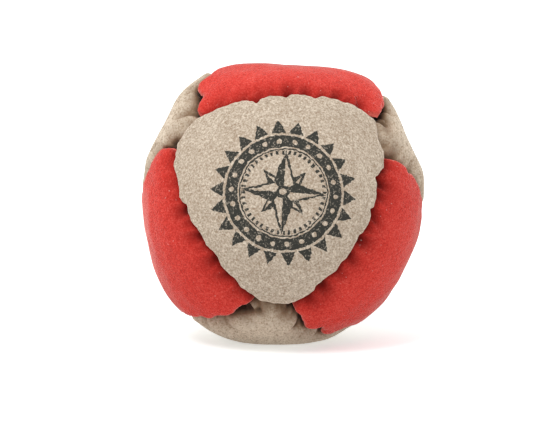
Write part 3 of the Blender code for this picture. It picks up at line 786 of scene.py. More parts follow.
class Skin:
    """A panel's surface as it is built up from its rings of points."""

    def __init__(self, middle):
        self.middle = middle
        across = unit(np.cross(middle, (0.3, 0.2, 0.9)))
        self.flat_axes = np.array((across, np.cross(middle, across)))
        self.points, self.folds, self.edges, self.paths, self.faces = [], [], [], [], []
        self.count = 0
        self.last = None
        self.inside_from = None

    def add_ring(self, directions, radii, fold=0.0, edge=0.0, beyond=0.0):
        """A ring of points, with what its material needs and how far past the panel's edge it lies."""
        ring = np.arange(self.count, self.count + len(directions))
        self.points.append(directions * radii[:, None])
        self.folds.append(np.broadcast_to(fold, len(ring)))
        self.edges.append(np.broadcast_to(edge, len(ring)))
        flat = directions @ self.flat_axes.T
        arc = np.arccos(np.clip(directions @ self.middle, -1, 1)) * BAG_RADIUS + beyond
        self.paths.append(arc[:, None] * flat / np.maximum(np.linalg.norm(flat, axis=1), 1e-9)[:, None])
        self.count += len(ring)
        if self.last is not None:
            self.join(self.last, ring)
        self.last = ring

    def join(self, one, other):
        """Faces between two rings, of which one may have twice as many points, or be a single point."""
        if len(one) == len(other):
            nexts = np.roll(one, -1), np.roll(other, -1)
            self.faces += np.stack((one, nexts[0], nexts[1], other), 1).tolist()
            return
        dense, sparse = (one, other) if len(one) > len(other) else (other, one)
        if len(sparse) == 1:
            self.faces += [(a, b, sparse[0]) for a, b in zip(dense, np.roll(dense, -1))]
            return
        odd, next_even, next_sparse = dense[1::2], np.roll(dense[::2], -1), np.roll(sparse, -1)
        self.faces += np.stack((dense[::2], odd, sparse), 1).tolist()
        self.faces += np.stack((odd, next_even, next_sparse), 1).tolist()
        self.faces += np.stack((sparse, odd, next_sparse), 1).tolist()

    def to_object(self, name, material):
        """The closed, smooth object, with a flat layout for its material: the face and the inside."""
        points = np.concatenate(self.points) + BALL_MIDDLE
        mesh = bpy.data.meshes.new(name)
        mesh.from_pydata(points.tolist(), [], self.faces)
        # The fold shade says where painted shade goes, and the edge where wear and a painted highlight go
        for label, rows in (("fold", self.folds), ("edge", self.edges)):
            layer = mesh.attributes.new(label, "FLOAT", "POINT")
            layer.data.foreach_set("value", np.concatenate(rows).astype(np.float32))
        paths = np.concatenate(self.paths) / UV_REACH
        layout = mesh.uv_layers.new(name="OFBake")
        corners = np.empty(len(mesh.loops), int)
        mesh.loops.foreach_get("vertex_index", corners)
        sizes = np.array([len(face) for face in self.faces])
        inside = np.repeat(np.arange(len(sizes)) >= self.inside_from, sizes)[:, None]
        (out_middle, out_size), (in_middle, in_size) = UV_OUTSIDE, UV_INSIDE
        flat = np.where(inside, np.array(in_middle) + paths[corners] * in_size,
                        np.array(out_middle) + paths[corners] * out_size)
        layout.data.foreach_set("uv", flat.astype(np.float32).ravel())
        mesh.materials.append(material)
        mesh.shade_smooth()
        turn_faces_out(mesh)
        return put_in_scene(name, mesh)


def thinned(columns, spacing, ring_length):
    """Which columns a ring keeps, as 1 in 1, 2, 4 or 8, so that its points aren't too crowded."""
    step = 1
    widest = spacing * WIDEST_SPACING_SHARE
    while len(columns) % (2 * step) == 0 and ring_length * 2 * step / len(columns) < widest:
        step *= 2
    return step


def sew_panel(name, material):
    """One panel: its crowned face, its rolled and tucked edge, and its inside."""
    panel = Panel(name)
    middle = unit(panel.signs / math.sqrt(3))
    skin = Skin(pulled_direction(middle))
    columns = [(side, np.arange(COLUMNS[side[0]]) / COLUMNS[side[0]]) for side in panel.sides]

    def around(function, *per_column):
        """What a function gives for the columns of each side, in one row."""
        rows, start = [], 0
        for side, shares in columns:
            stop = start + len(shares)
            rows.append(function(side, shares, *(values[start:stop] for values in per_column)))
            start = stop
        return np.concatenate(rows)

    total = sum(len(shares) for _, shares in columns)

    def edge_offset(step):
        """Offsets from the seam of a ring that lies this far from the edge in view."""
        steady = np.full(total, step)
        share = around(lambda side, share, e: panel.measure(panel.places(side, share, e), side)[1], steady)
        shift = around(lambda side, _, at: panel.edge_shift(side, np.clip(at, 0, 1)), share)
        return step + shift * overlap_fade(np.array(step))

    def ring(offset):
        """Places of a ring at an offset from the seams, which may differ from column to column."""
        return unit(around(panel.places, np.broadcast_to(offset, total)))

    def face_ring(places):
        """A ring of the face, and how deep it lies."""
        directions = pulled_direction(places)
        depth, fold, edge = panel.depths(places)
        skin.add_ring(directions, bag_radius(directions) - depth, fold, edge)
        return depth

    def lining_ring(places):
        """A ring of the inside, a suede's thickness and a little more below the face."""
        directions = pulled_direction(places)
        depth = panel.depths(places, LINING_SLACK)[0] + SUEDE_THICKNESS + LINING_GAP
        skin.add_ring(directions, bag_radius(directions) - depth)

    def nearer_middle(places, share):
        """The ring's places, moved to this share of their way out from the panel's middle."""
        return unit(places + (middle - places) * (1 - share))

    def count_to_middle(places, spacing):
        """How many rings, a spacing apart, fit between a ring and the panel's middle."""
        return int(np.linalg.norm(places - middle, axis=1).max() * BAG_RADIUS / spacing)

    outer = ring(edge_offset(EDGE_STEPS[0]))
    length = np.linalg.norm(outer - np.roll(outer, 1, 0), axis=1).sum() * BAG_RADIUS
    rings_in = count_to_middle(outer, RING_SPACING)
    keeps = [thinned(outer, RING_SPACING, length * (n + 0.5) / rings_in) for n in range(rings_in)]
    for n in range(rings_in - 2, 0, -1):
        keeps[n] = min(max(keeps[n], keeps[n + 1]), keeps[n + 1] * 2)
    keeps[0] = keeps[1]
    direction = pulled_direction(middle[None])
    skin.add_ring(direction, bag_radius(direction) - panel.depths(middle[None])[0])
    for n in range(1, rings_in):
        face_ring(nearer_middle(outer, n / rings_in)[::keeps[n]])
    for step in EDGE_STEPS[:-1]:
        face_ring(ring(edge_offset(step)))
    for turn in ROLL_TURNS:
        depth = face_ring(ring(edge_offset(ROLL_WIDTH * (1 - math.sin(turn)))))

    edge_offsets = edge_offset(0.0)
    up = around(panel.uppness)
    # Each tuck ring of an edge on top takes painted shade and a painted highlight by its turn; under
    # another edge it takes deep painted shade
    for turn, fold_shade_here, edge_here in TUCK_TURNS:
        offsets = edge_offsets + (SEAM_FACE - edge_offsets) * (1 - math.cos(turn))
        directions = pulled_direction(ring(offsets))
        depth_here = depth + TUCK_DEPTH * math.sin(turn) * (LEAST_TUCK + (1 - LEAST_TUCK) * up)
        fold = fold_shade_here * up + UNDER_EDGE_SHADE * (1 - up)
        skin.add_ring(directions, bag_radius(directions) - depth_here, fold, edge_here * up,
                      TUCK_DEPTH * math.sin(turn))

    def needle_holes(side, shares):
        """How far the turned-in edge is notched at the stitches."""
        seam = panel.seams[side]
        along = panel.seam_share(side, shares)[:, None] - seam.stitch_shares()
        return np.exp(-(along * seam.length / NEEDLE_HOLE_WIDTH) ** 2).max(1) * NEEDLE_HOLE_HEIGHT

    directions = pulled_direction(ring(SEAM_FACE))
    turned_end = GROOVE_DEPTH + TURNED_EDGE - around(needle_holes)
    turned_end = np.maximum(turned_end, depth_here + LEAST_TURN_IN)
    # The turned-in edge's rings take painted shade
    for step in FLANGE_STEPS:
        level = depth_here + (turned_end - depth_here) * step
        skin.add_ring(directions, bag_radius(directions) - level, TURNED_EDGE_SHADE, 0.0,
                      TUCK_DEPTH + np.clip(level - depth_here, 0, None))
    skin.inside_from = len(skin.faces)
    directions = pulled_direction(ring(SEAM_FACE + SUEDE_THICKNESS))
    skin.add_ring(directions, bag_radius(directions) - turned_end, TURNED_EDGE_SHADE, 0.0, TURNED_EDGE)
    for offset in INNER_STEPS:
        lining_ring(ring(offset))
    outer = ring(INNER_STEPS[-1])
    rings_in = count_to_middle(outer, INNER_SPACING)
    keep = 1
    for n in range(rings_in - 1, 0, -1):
        wanted = thinned(outer, INNER_SPACING, length * n / rings_in)
        keep = min(keep * 2, max(wanted, keep))
        lining_ring(nearer_middle(outer, n / rings_in)[::keep])
    skin.add_ring(direction, bag_radius(direction) - SUEDE_THICKNESS - LINING_GAP)
    return skin.to_object("suede_" + name, material)


# Red suede's colours, and the shared make of the nap: fuzzy flecks, a soft brushed unevenness, paler
# worn edges with a painted highlight, painted shade in folds, and a painted dark crack under edges
RED = (0.66, 0.042, 0.03, 1)
RED_PALE = (0.84, 0.13, 0.1, 1)
RED_DEEP = (0.32, 0.012, 0.008, 1)
# The worn colour of edges with its painted highlight, and the colour of the painted shade in folds
RED_WORN_HIGHLIGHT = (0.85, 0.17, 0.13, 1)
RED_FOLD_SHADE = (0.2, 0.007, 0.005, 1)
RED_NAP = {"Colour": RED, "Pale Colour": RED_PALE, "Deep Colour": RED_DEEP, "Worn Highlight Colour": RED_WORN_HIGHLIGHT,
           "Fold Shade Colour": RED_FOLD_SHADE, "Lay": (1.2, 0.6, 1.2), "Flecks": 0.45, "Drift": 0.1, "Lint": 0.3}
RED_SHEEN = (1.0, (1, 0.57, 0.53, 1))
# The colour of the painted dark crack where an edge dips under another
CRACK_SHADE_COLOUR = (0.03, 0.014, 0.009, 1)
LINT_COLOUR = (0.9, 0.75, 0.7, 1)
NAP_HEIGHT = 0.06 * MM
NAP_BUMP = 0.55
SUEDE_ROUGHNESS = 0.95
SUEDE_SPECULAR = 0.15
SHEEN_ROUGHNESS = 0.25

# How many of each mark lie in a metre, with the noise's detail, roughness and distortion
FIBRE_NOISE = (3000, 2.0, 0.5, 0.6)
FUZZ_NOISE = (1300, 2.0, 0.55, 0.6)
BRUSHED_NOISE = (130, 2.0, 0.5, 0.3)
LINT_NOISE = (2200, 0.0, 0.5, 0.0)

# The part of each noise or mask that is used, and what it becomes
FIBRE_RANGE = (0.32, 0.68, -1.0, 1.0)
FUZZ_RANGE = (0.3, 0.7, -0.45, 0.45)
BRUSHED_RANGE = (0.3, 0.7, -1.0, 1.0)
LINT_RANGE = (0.835, 0.86, 0.0, 1.0)
# The fold shade paints shade and then a dark crack; the edge paints wear with a highlight
FOLD_SHADE_RANGE = (0.0, 1.5, 0.0, 0.92)
CRACK_SHADE_RANGE = (1.4, 2.4, 0.0, 0.9)
WORN_HIGHLIGHT_RANGE = (0.0, 1.0, 0.0, 0.85)


def new_group(name, inputs, outputs):
    """A node group with named sockets, and what its inputs give. They are colours, vectors or floats."""
    group = bpy.data.node_groups.new(name, "ShaderNodeTree")
    for in_out, sockets in (("INPUT", inputs), ("OUTPUT", outputs)):
        for label, kind in sockets.items():
            group.interface.new_socket(name=label, in_out=in_out, socket_type="NodeSocket" + kind)
    return group, add_node(group, "NodeGroupInput").outputs


def suede_nap():
    """The node group for napped suede: the colour and height of the nap, with painted shade and highlights.
    """
    group, given = new_group("suede_nap", {
        "Colour": "Color", "Pale Colour": "Color", "Deep Colour": "Color", "Worn Highlight Colour": "Color",
        "Fold Shade Colour": "Color", "Lay": "Vector", "Flecks": "Float", "Drift": "Float", "Lint": "Float"},
        {"Colour": "Color", "Height": "Float"})
    place = add_node(group, "ShaderNodeTexCoord").outputs["Object"]
    place = add_node(group, "ShaderNodeVectorMath", {0: place, 1: given["Lay"]},
                     operation="MULTIPLY").outputs[0]

    def noise(per_metre, detail, roughness, distortion):
        return add_node(group, "ShaderNodeTexNoise", {"Vector": place, "Scale": per_metre, "Detail": detail,
                        "Roughness": roughness, "Distortion": distortion}).outputs["Fac"]

    def spread(value, low, high, to_low=0.0, to_high=1.0):
        return add_node(group, "ShaderNodeMapRange", {"Value": value, "From Min": low, "From Max": high,
                        "To Min": to_low, "To Max": to_high}).outputs["Result"]

    def calc(operation, one, other):
        return add_node(group, "ShaderNodeMath", {0: one, 1: other}, operation=operation).outputs[0]

    def blend(share, one, other):
        node = add_node(group, "ShaderNodeMix", {"Factor": share, 6: one, 7: other}, data_type="RGBA")
        return node.outputs[2]

    fibres = spread(noise(*FIBRE_NOISE), *FIBRE_RANGE)
    fuzz = spread(noise(*FUZZ_NOISE), *FUZZ_RANGE)
    brushed = spread(noise(*BRUSHED_NOISE), *BRUSHED_RANGE)
    height = calc("ADD", fibres, fuzz)
    level = calc("MULTIPLY", height, given["Flecks"])
    level = calc("ADD", level, calc("MULTIPLY", brushed, given["Drift"]))
    pale = spread(level, 0.0, 1.0)
    deep = spread(calc("MULTIPLY", level, -1.0), 0.0, 1.0)
    colour = blend(pale, given["Colour"], given["Pale Colour"])
    colour = blend(deep, colour, given["Deep Colour"])
    # Painted shade in folds, puckers and seams, and a painted dark crack under edges
    fold = add_node(group, "ShaderNodeAttribute", attribute_name="fold").outputs["Fac"]
    colour = blend(spread(fold, *FOLD_SHADE_RANGE), colour, given["Fold Shade Colour"])
    colour = blend(spread(fold, *CRACK_SHADE_RANGE), colour, CRACK_SHADE_COLOUR)
    # Wear with a painted highlight along the rolled edges
    edge = add_node(group, "ShaderNodeAttribute", attribute_name="edge").outputs["Fac"]
    colour = blend(spread(edge, *WORN_HIGHLIGHT_RANGE), colour, given["Worn Highlight Colour"])
    lint = spread(noise(*LINT_NOISE), *LINT_RANGE)
    colour = blend(calc("MULTIPLY", lint, given["Lint"]), colour, LINT_COLOUR)
    add_node(group, "NodeGroupOutput", {"Colour": colour, "Height": height})
    return group


SUEDE_NAP = suede_nap()


def suede_material(name, sheen, sheen_tint, nap_values):
    """A suede, with its node tree, its shader and its nap."""
    material = bpy.data.materials.new(name)
    tree = bare_tree(material)
    nap = add_node(tree, "ShaderNodeGroup", nap_values, node_tree=SUEDE_NAP)
    bump = add_node(tree, "ShaderNodeBump", {"Height": nap.outputs["Height"], "Strength": NAP_BUMP,
                    "Distance": NAP_HEIGHT})
    shader = add_node(tree, "ShaderNodeBsdfPrincipled", {"Base Color": nap.outputs["Colour"],
                      "Normal": bump.outputs["Normal"], "Roughness": SUEDE_ROUGHNESS,
                      "Specular IOR Level": SUEDE_SPECULAR, "Sheen Weight": sheen,
                      "Sheen Roughness": SHEEN_ROUGHNESS, "Sheen Tint": sheen_tint})
    add_node(tree, "ShaderNodeOutputMaterial", {"Surface": shader.outputs[0]})
    return material, tree, shader, nap


red_suede = suede_material("red_suede_nap", *RED_SHEEN, RED_NAP)[0]


def fit_panel(name, material):
    piece = sew_panel(name, material)
    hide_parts("panel_" + name)
    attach(piece, "root")
    return piece


for panel_name in ("red_top", "red_left", "red_right", "red_back"):
    fit_panel(panel_name, red_suede)


# The three plain tan suede panels: left, right and bottom. They are the same thick suede, cut a little
# larger than the red ones, and all their edges lie under their neighbours' except among themselves.
TAN = (0.66, 0.545, 0.42, 1)
TAN_PALE = (0.8, 0.7, 0.57, 1)
TAN_DEEP = (0.3, 0.21, 0.135, 1)
# The worn colour of edges with its painted highlight, and the colour of the painted shade in folds
TAN_WORN_HIGHLIGHT = (0.9, 0.74, 0.58, 1)
TAN_FOLD_SHADE = (0.2, 0.12, 0.065, 1)
TAN_NAP = {"Colour": TAN, "Pale Colour": TAN_PALE, "Deep Colour": TAN_DEEP, "Worn Highlight Colour": TAN_WORN_HIGHLIGHT,
           "Fold Shade Colour": TAN_FOLD_SHADE, "Lay": (1, 0.45, 1), "Flecks": 0.64, "Drift": 0.1, "Lint": 0.0}
TAN_SHEEN = (0.26, (1, 0.92, 0.82, 1))

tan_suede = suede_material("tan_suede_nap", *TAN_SHEEN, TAN_NAP)[0]
for panel_name in ("tan_left", "tan_right", "tan_bottom"):
    fit_panel(panel_name, tan_suede)


# The front panel: the fourth tan panel, printed in charcoal ink with a compass rose in a ring of rays.
# The ink is stamped on the nap, so its edges are a little rough and the fibres show through it.
# The front's tan is a darker copy of the other tan panels': painted shade that evens out the stronger light
# on the front
PRINTED_SHADED_NAP = TAN_NAP | {"Colour": (0.5, 0.408, 0.317, 1), "Lay": (1, 1, 1), "Flecks": 0.66}
INK = (0.042, 0.042, 0.036, 1)
PRINT_RADIUS = 14.3 * MM
PRINT_DEPTH = SUEDE_THICKNESS * 0.7
PRINT_TILT = math.radians(14.5)
PRINT_DIRECTION = unit(np.array((0.0093, -math.cos(PRINT_TILT), math.sin(PRINT_TILT))))
PRINT_TURN = math.radians(4)
OFF_THE_PRINT = 9.0

# The design's circles, bands and points, as shares of its radius
RAY_COUNT = 22
RAY_FOOT = 0.81
RAY_WIDTH = 0.42
RING_BAND = (0.61, 0.775)
DOT_COUNT = 22
DOT_CIRCLE = 0.693
DOT_RADIUS = 0.034
INNER_BAND = (0.57, 0.59)
TICK_COUNT = 44
TICK_BAND = (0.505, 0.56)
TICK_WIDTH = 0.22
MAIN_POINTS = (0.56, 3.1)
SIDE_POINTS = (0.4, 2.6)
POINT_OUTLINE = 0.03
HUB = (0.045, 0.085)

# How many waves in a metre of an inked edge's roughness and wandering, and how far they move it
ROUGH_INK = (1500, 0.035)
WANDERING_INK = (260, 0.05)

# Between these heights of the nap, the ink thins to this share
BARE_FIBRES = (0.35, 1.3)
THINNEST_INK = 0.5


def compass_print():
    """The node group for the printed compass rose: 1 where there is ink, from the place on the print."""
    group, given = new_group("compass_print", {"Place": "Vector", "Nap Height": "Float"}, {"Ink": "Float"})
    fibres = add_node(group, "ShaderNodeTexCoord").outputs["Object"]

    def calc(operation, *values):
        return add_node(group, "ShaderNodeMath", dict(enumerate(values)), operation=operation).outputs[0]

    def both(one, other):
        return calc("MULTIPLY", one, other)

    def either(one, *others):
        for other in others:
            one = calc("MAXIMUM", one, other)
        return one

    def below(value, limit):
        return calc("LESS_THAN", value, limit)

    def band(value, low, high):
        return both(calc("GREATER_THAN", value, low), below(value, high))

    def shift(place, per_metre, size):
        noise = add_node(group, "ShaderNodeTexNoise", {"Vector": fibres, "Scale": per_metre, "Detail": 1.0})
        centred = add_node(group, "ShaderNodeVectorMath", {0: noise.outputs["Color"], 1: (0.5, 0.5, 0.5)},
                           operation="SUBTRACT")
        sized = add_node(group, "ShaderNodeVectorMath", {0: centred.outputs[0], "Scale": size},
                         operation="SCALE")
        return add_node(group, "ShaderNodeVectorMath", {0: place, 1: sized.outputs[0]},
                        operation="ADD").outputs[0]

    place = shift(shift(given["Place"], *ROUGH_INK), *WANDERING_INK)
    parts = add_node(group, "ShaderNodeSeparateXYZ", {0: place}).outputs
    across, up = parts["X"], parts["Y"]
    flat = add_node(group, "ShaderNodeCombineXYZ", {"X": across, "Y": up})
    radius = add_node(group, "ShaderNodeVectorMath", {0: flat.outputs[0]},
                      operation="LENGTH").outputs["Value"]
    turn = calc("DIVIDE", calc("ARCTAN2", across, up), 2 * math.pi)

    def from_cell_middle(count):
        """How far round from the middle of the nearest of so many cells, as a share of a cell."""
        cell = calc("FRACT", calc("ADD", calc("MULTIPLY", turn, float(count)), float(count)))
        return calc("ABSOLUTE", calc("SUBTRACT", cell, 0.5))

    ray_width = calc("MULTIPLY", calc("SUBTRACT", 1.0, radius), RAY_WIDTH / (1 - RAY_FOOT))
    rays = both(below(from_cell_middle(RAY_COUNT), ray_width), band(radius, RAY_FOOT, 1.0))
    inner = band(radius, *INNER_BAND)
    ticks = both(below(from_cell_middle(TICK_COUNT), TICK_WIDTH), band(radius, *TICK_BAND))
    along = calc("MULTIPLY", calc("MULTIPLY", from_cell_middle(DOT_COUNT), 2 * math.pi / DOT_COUNT), radius)
    outward = calc("SUBTRACT", radius, DOT_CIRCLE)
    dot = calc("SQRT", calc("ADD", calc("MULTIPLY", along, along), calc("MULTIPLY", outward, outward)))
    ring = both(band(radius, *RING_BAND), calc("GREATER_THAN", dot, DOT_RADIUS))

    def star(x, y, reach, slimness):
        """Four points along the two directions, each with one half inked and the other outlined."""
        wide, high = calc("ABSOLUTE", x), calc("ABSOLUTE", y)
        upright = calc("ADD", calc("MULTIPLY", wide, slimness), high)
        level = calc("ADD", calc("MULTIPLY", high, slimness), wide)
        size = calc("MINIMUM", upright, level)
        whole = below(size, reach)
        quarter = calc("MULTIPLY", x, y)
        half = calc("GREATER_THAN", calc("MULTIPLY", quarter, calc("SUBTRACT", high, wide)), 0.0)
        line = both(whole, calc("GREATER_THAN", size, reach - POINT_OUTLINE * slimness))
        return whole, either(both(whole, half), line)

    slant = math.sqrt(0.5)
    turned_x = calc("MULTIPLY", calc("ADD", across, up), slant)
    turned_y = calc("MULTIPLY", calc("SUBTRACT", up, across), slant)
    main, main_ink = star(across, up, *MAIN_POINTS)
    side_ink = star(turned_x, turned_y, *SIDE_POINTS)[1]
    beside_main = calc("SUBTRACT", 1.0, main)
    points = either(main_ink, both(side_ink, beside_main))
    hub = band(radius, *HUB)
    open_hub = calc("GREATER_THAN", radius, HUB[0])
    ink = either(rays, ring, inner, both(ticks, beside_main), both(points, open_hub), hub)
    worn = add_node(group, "ShaderNodeMapRange", {
        "Value": given["Nap Height"], "From Min": BARE_FIBRES[0], "From Max": BARE_FIBRES[1],
        "To Min": 1.0, "To Max": THINNEST_INK}).outputs["Result"]
    add_node(group, "NodeGroupOutput", {"Ink": both(ink, worn)})
    return group


printed_suede, tree, shader, nap = suede_material("printed_suede_nap", *TAN_SHEEN, PRINTED_SHADED_NAP)
print_place = add_node(tree, "ShaderNodeAttribute", attribute_name="print_place")
compass = add_node(tree, "ShaderNodeGroup", {"Place": print_place.outputs["Vector"],
                   "Nap Height": nap.outputs["Height"]}, node_tree=compass_print())
printed = add_node(tree, "ShaderNodeMix", {"Factor": compass.outputs["Ink"], 6: nap.outputs["Colour"],
                   7: INK}, data_type="RGBA")
tree.links.new(printed.outputs[2], shader.inputs["Base Color"])

front = fit_panel("tan_front", printed_suede)

# Each point's place on the print, measured over the curved suede. The inside lies off the print.
print_right = unit(np.cross(PRINT_DIRECTION, (0, 0, 1)) * -1)
print_up = np.cross(PRINT_DIRECTION, print_right) * -1
points = np.array([vertex.co for vertex in front.data.vertices]) - BALL_MIDDLE
directions = unit(points)
flat = np.stack((directions @ print_right, directions @ print_up), 1)
arc = np.arccos(np.clip(directions @ PRINT_DIRECTION, -1, 1)) * BAG_RADIUS / PRINT_RADIUS
flat *= (arc / np.maximum(np.linalg.norm(flat, axis=1), 1e-9))[:, None]
turned = flat @ np.array(((math.cos(PRINT_TURN), -math.sin(PRINT_TURN)),
                          (math.sin(PRINT_TURN), math.cos(PRINT_TURN))))
turned[np.linalg.norm(points, axis=1) < BAG_RADIUS - PRINT_DEPTH] = OFF_THE_PRINT
places = np.concatenate((turned, np.zeros((len(turned), 1))), 1)
layer = front.data.attributes.new("print_place", "FLOAT_VECTOR", "POINT")
layer.data.foreach_set("vector", places.astype(np.float32).ravel())


# The stitching: eighteen runs of black waxed thread, one to each seam, which overcast the turned-in
# edges inside the bag. Each thread is two plies laid round each other.
THREAD_DIAMETER = 0.0004
THREAD_CLEARANCE = 0.0002
PLY_DIAMETER = 0.23 * MM
PLY_LAY = 1.1 * MM
THREAD_STEP = 0.16 * MM
THREAD_SIDES = 6
CORNER_CUT = 0.15
CORNER_CUTS = 2
WAX = {"Colour": (0.02, 0.019, 0.018, 1), "Patch Colour": (0.06, 0.056, 0.05, 1),
       "Patches Per Metre": 1800.0, "Smoothest": 0.45, "Roughest": 0.75}
WAX_HEIGHT = 0.03 * MM
WAX_BUMP = 0.4
PATCH_DETAIL = 3.0


def patches():
    """The node group for a finish that lies in uneven patches, such as wax on thread or dust on plastic."""
    group, given = new_group("patches", {
        "Colour": "Color", "Patch Colour": "Color", "Patches Per Metre": "Float", "Smoothest": "Float",
        "Roughest": "Float"}, {"Colour": "Color", "Roughness": "Float", "Height": "Float"})
    place = add_node(group, "ShaderNodeTexCoord").outputs["Object"]
    patch = add_node(group, "ShaderNodeTexNoise", {"Vector": place, "Scale": given["Patches Per Metre"],
                     "Detail": PATCH_DETAIL}).outputs["Fac"]
    colour = add_node(group, "ShaderNodeMix", {"Factor": patch, 6: given["Colour"],
                      7: given["Patch Colour"]}, data_type="RGBA").outputs[2]
    roughness = add_node(group, "ShaderNodeMapRange", {"Value": patch, "To Min": given["Smoothest"],
                         "To Max": given["Roughest"]}).outputs["Result"]
    add_node(group, "NodeGroupOutput", {"Colour": colour, "Roughness": roughness, "Height": patch})
    return group


PATCHES = patches()

thread_material = bpy.data.materials.new("waxed_thread")
tree = bare_tree(thread_material)
wax = add_node(tree, "ShaderNodeGroup", WAX, node_tree=PATCHES).outputs
bump = add_node(tree, "ShaderNodeBump", {"Height": wax["Height"], "Strength": WAX_BUMP,
                "Distance": WAX_HEIGHT})
shader = add_node(tree, "ShaderNodeBsdfPrincipled", {"Base Color": wax["Colour"],
                  "Roughness": wax["Roughness"], "Normal": bump.outputs["Normal"]})
add_node(tree, "ShaderNodeOutputMaterial", {"Surface": shader.outputs[0]})


def thread_route(seam):
    """The thread's corners: across the seam in each needle hole, and back under the edge between."""
    first, second = Panel(seam.first), Panel(seam.second)
    to_wall = THREAD_DIAMETER / 2 + THREAD_CLEARANCE
    slope = math.atan((TURNED_EDGE - STITCH_DEPTH) / (STITCH_PITCH / 2))
    top, bottom = STITCH_DEPTH + to_wall / math.cos(slope), TURNED_EDGE + to_wall
    offset = SEAM_FACE + SUEDE_THICKNESS + THREAD_DIAMETER / 2

    def corner(panel, share, depth):
        """A corner of the route, behind one panel's turned-in edge."""
        own = panel.seam_share(seam.side, share)
        direction = pulled_direction(panel.places(seam.side, np.array([own]), np.array([offset])))
        return (direction * (bag_radius(direction) - GROOVE_DEPTH - depth)[:, None])[0]

    shares = seam.stitch_shares()
    route = []
    for n, share in enumerate(shares):
        route += [corner(first, share, top), corner(second, share, top)]
        if n + 1 < len(shares):
            land = (share + shares[n + 1]) / 2
            route += [corner(second, land, bottom), corner(first, land, bottom)]
    return np.array(route)


def rounded(route, step):
    """The route with its corners cut a little, at even steps, and how far along each point lies."""
    for _ in range(CORNER_CUTS):
        ahead = np.diff(route, axis=0) * CORNER_CUT
        cut = np.stack((route[:-1] + ahead, route[1:] - ahead), 1).reshape(-1, 3)
        route = np.concatenate((route[:1], cut, route[-1:]))
    lengths = np.concatenate(((0,), np.cumsum(np.linalg.norm(np.diff(route, axis=0), axis=1))))
    at = np.linspace(0, lengths[-1], int(lengths[-1] / step))
    return np.stack([np.interp(at, lengths, route[:, k]) for k in range(3)], 1), at


def twisted_thread(seam):
    """Both plies of one seam's thread, as closed round tubes."""
    route, at = rounded(thread_route(seam), THREAD_STEP)
    count = len(route)
    ahead = unit(np.gradient(route, axis=0))
    outward = unit(route)
    sideways = unit(np.cross(ahead, outward))
    outward = np.cross(sideways, ahead)
    points, faces = [], []
    for ply in range(2):
        turn = at / PLY_LAY * 2 * math.pi + ply * math.pi
        middle = route + (THREAD_DIAMETER - PLY_DIAMETER) / 2 * (
            sideways * np.cos(turn)[:, None] + outward * np.sin(turn)[:, None])
        for side in range(THREAD_SIDES):
            angle = 2 * math.pi * side / THREAD_SIDES
            out = sideways * math.cos(angle) + outward * math.sin(angle)
            points.append(middle + PLY_DIAMETER / 2 * out)
        points += [middle[:1], middle[-1:]]
        start = ply * (count * THREAD_SIDES + 2)
        ends = start + count * THREAD_SIDES, start + count * THREAD_SIDES + 1
        for side in range(THREAD_SIDES):
            one, other = start + side * count, start + (side + 1) % THREAD_SIDES * count
            faces += [(one + n, one + n + 1, other + n + 1, other + n) for n in range(count - 1)]
            faces += [(one, other, ends[0]), (other + count - 1, one + count - 1, ends[1])]
    pair = seam.first + "_to_" + seam.second
    mesh = bpy.data.meshes.new("thread_" + pair)
    mesh.from_pydata((np.concatenate(points) + BALL_MIDDLE).tolist(), [], faces)
    mesh.materials.append(thread_material)
    mesh.shade_smooth()
    turn_faces_out(mesh)
    piece = put_in_scene("thread_" + pair, mesh)
    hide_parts("stitching_" + pair)
    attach(piece, "root")


for seam in SEAMS:
    twisted_thread(seam)


# The filling: loose off-white plastic granules, cut from strand, that fill the cover to its lining and
# leave room round the turned-in edges.
PELLET_LENGTH = 2.9 * MM
PELLET_DIAMETER = 2.7 * MM
PELLET_SPACING = 3.35 * MM
PELLET_JITTER = 0.14 * MM
PELLET_SIDES = 8
PELLET_LEAST_STRETCH = (0.85, 0.92, 0.92)
PELLET_TURN_SEED = 6
PELLET_PLACE_SEED = 5

# Rings of a granule from end to end: how far along it lies and how wide it is, as shares
PELLET_TIPS = (-0.5, 0.5)
PELLET_RINGS = ((-0.47, 0.33), (-0.34, 0.47), (0.34, 0.47), (0.47, 0.33))

# The room that the granules leave at a seam: its width and depth by the turned-in edges, and by the slope
FLANGE_ROOM = (1.9 * MM, 5.3 * MM)
SLOPE_ROOM = (5.0 * MM, 2.6 * MM)
LINING_ROOM = 0.1 * MM
BESIDE_PANEL = 1.5 * REACH
DUST = {"Colour": (0.76, 0.76, 0.72, 1), "Patch Colour": (0.6, 0.59, 0.55, 1),
        "Patches Per Metre": 500.0, "Smoothest": 0.35, "Roughest": 0.65}

pellet_material = bpy.data.materials.new("plastic_pellets")
tree = bare_tree(pellet_material)
dust = add_node(tree, "ShaderNodeGroup", DUST, node_tree=PATCHES).outputs
shader = add_node(tree, "ShaderNodeBsdfPrincipled", {"Base Color": dust["Colour"],
                  "Roughness": dust["Roughness"]})
add_node(tree, "ShaderNodeOutputMaterial", {"Surface": shader.outputs[0]})


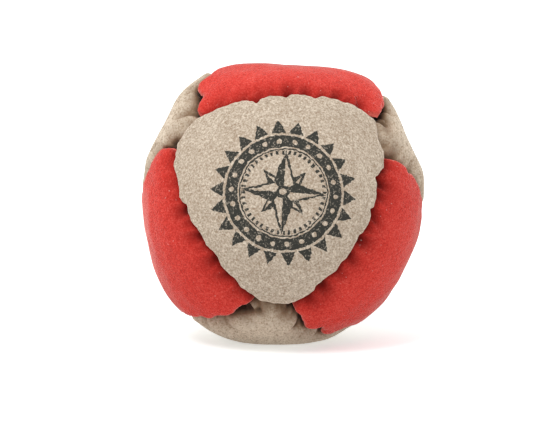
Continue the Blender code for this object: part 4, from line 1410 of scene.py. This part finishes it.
def pellet_places():
    """Where the granules lie: packed in staggered layers, wherever one fits inside the cover."""
    count = int(BAG_RADIUS / PELLET_SPACING) + 3
    steps = np.arange(-count, count + 1)
    grid = np.stack(np.meshgrid(steps, steps, steps, indexing="ij"), -1).reshape(-1, 3)
    grid = grid[grid.sum(1) % 2 == 0] * PELLET_SPACING / math.sqrt(2)
    random = np.random.default_rng(PELLET_PLACE_SEED)
    grid = grid + random.uniform(-PELLET_JITTER, PELLET_JITTER, grid.shape)
    reach = np.linalg.norm(grid, axis=1)

    # The one in the very middle lies in no direction, so it is left out
    keep = (reach > PELLET_SPACING / 3) & (reach < BAG_RADIUS)
    grid, reach = grid[keep], reach[keep]
    directions = unit(grid)
    places = unit(directions @ AXES.T)
    to_seam = np.full(len(grid), -1.0)
    for name in PANELS:
        panel = Panel(name)
        offsets = np.min([panel.measure(places, side)[0] for side in panel.sides], axis=0)
        inside = (places * panel.signs > -BESIDE_PANEL).all(1)
        to_seam = np.where(inside, np.maximum(to_seam, offsets), to_seam)
    size = math.hypot(PELLET_LENGTH, PELLET_DIAMETER) / 2
    room = SUEDE_THICKNESS + LINING_GAP + size + LINING_ROOM
    to_seam = to_seam - SEAM_PULL
    sloping = np.clip(1 - to_seam / SLOPE_ROOM[0], 0, 1) ** 2 * SLOPE_ROOM[1]
    by_edge = np.where(to_seam < FLANGE_ROOM[0] + size, FLANGE_ROOM[1], 0)
    room = room + np.maximum(sloping, by_edge)
    return grid[reach + room < bag_radius(directions)]


def granules():
    """All the granules as one mesh of short rounded cylinders, each turned its own way."""
    random = np.random.default_rng(PELLET_TURN_SEED)
    turns = 2 * math.pi * np.arange(PELLET_SIDES) / PELLET_SIDES
    start, stop = (np.array(((tip * PELLET_LENGTH, 0, 0),)) for tip in PELLET_TIPS)
    rings = [np.stack((np.full(PELLET_SIDES, along * PELLET_LENGTH), np.cos(turns) * out * PELLET_DIAMETER,
                       np.sin(turns) * out * PELLET_DIAMETER), 1) for along, out in PELLET_RINGS]
    shape = np.concatenate((start, *rings, stop))
    last = len(shape) - 1
    top = last - PELLET_SIDES
    faces = []
    for side in range(PELLET_SIDES):
        beside = (side + 1) % PELLET_SIDES
        faces.append((0, 1 + beside, 1 + side))
        for low in range(1, top, PELLET_SIDES):
            high = low + PELLET_SIDES
            faces.append((low + side, low + beside, high + beside, high + side))
        faces.append((last, top + side, top + beside))
    points, all_faces = [], []
    for n, middle in enumerate(pellet_places()):
        axis = unit(random.normal(size=3))
        across = unit(np.cross(axis, random.normal(size=3)))
        turned = np.stack((axis, across, np.cross(axis, across)))
        stretch = random.uniform(PELLET_LEAST_STRETCH, (1.0, 1.0, 1.0))
        points.append((shape * stretch) @ turned + middle)
        all_faces += [tuple(index + n * len(shape) for index in face) for face in faces]
    mesh = bpy.data.meshes.new("pellets")
    mesh.from_pydata((np.concatenate(points) + BALL_MIDDLE).tolist(), [], all_faces)
    mesh.materials.append(pellet_material)
    mesh.shade_smooth()
    piece = put_in_scene("pellets", mesh)
    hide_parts("pellet_fill")
    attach(piece, "root")


granules()
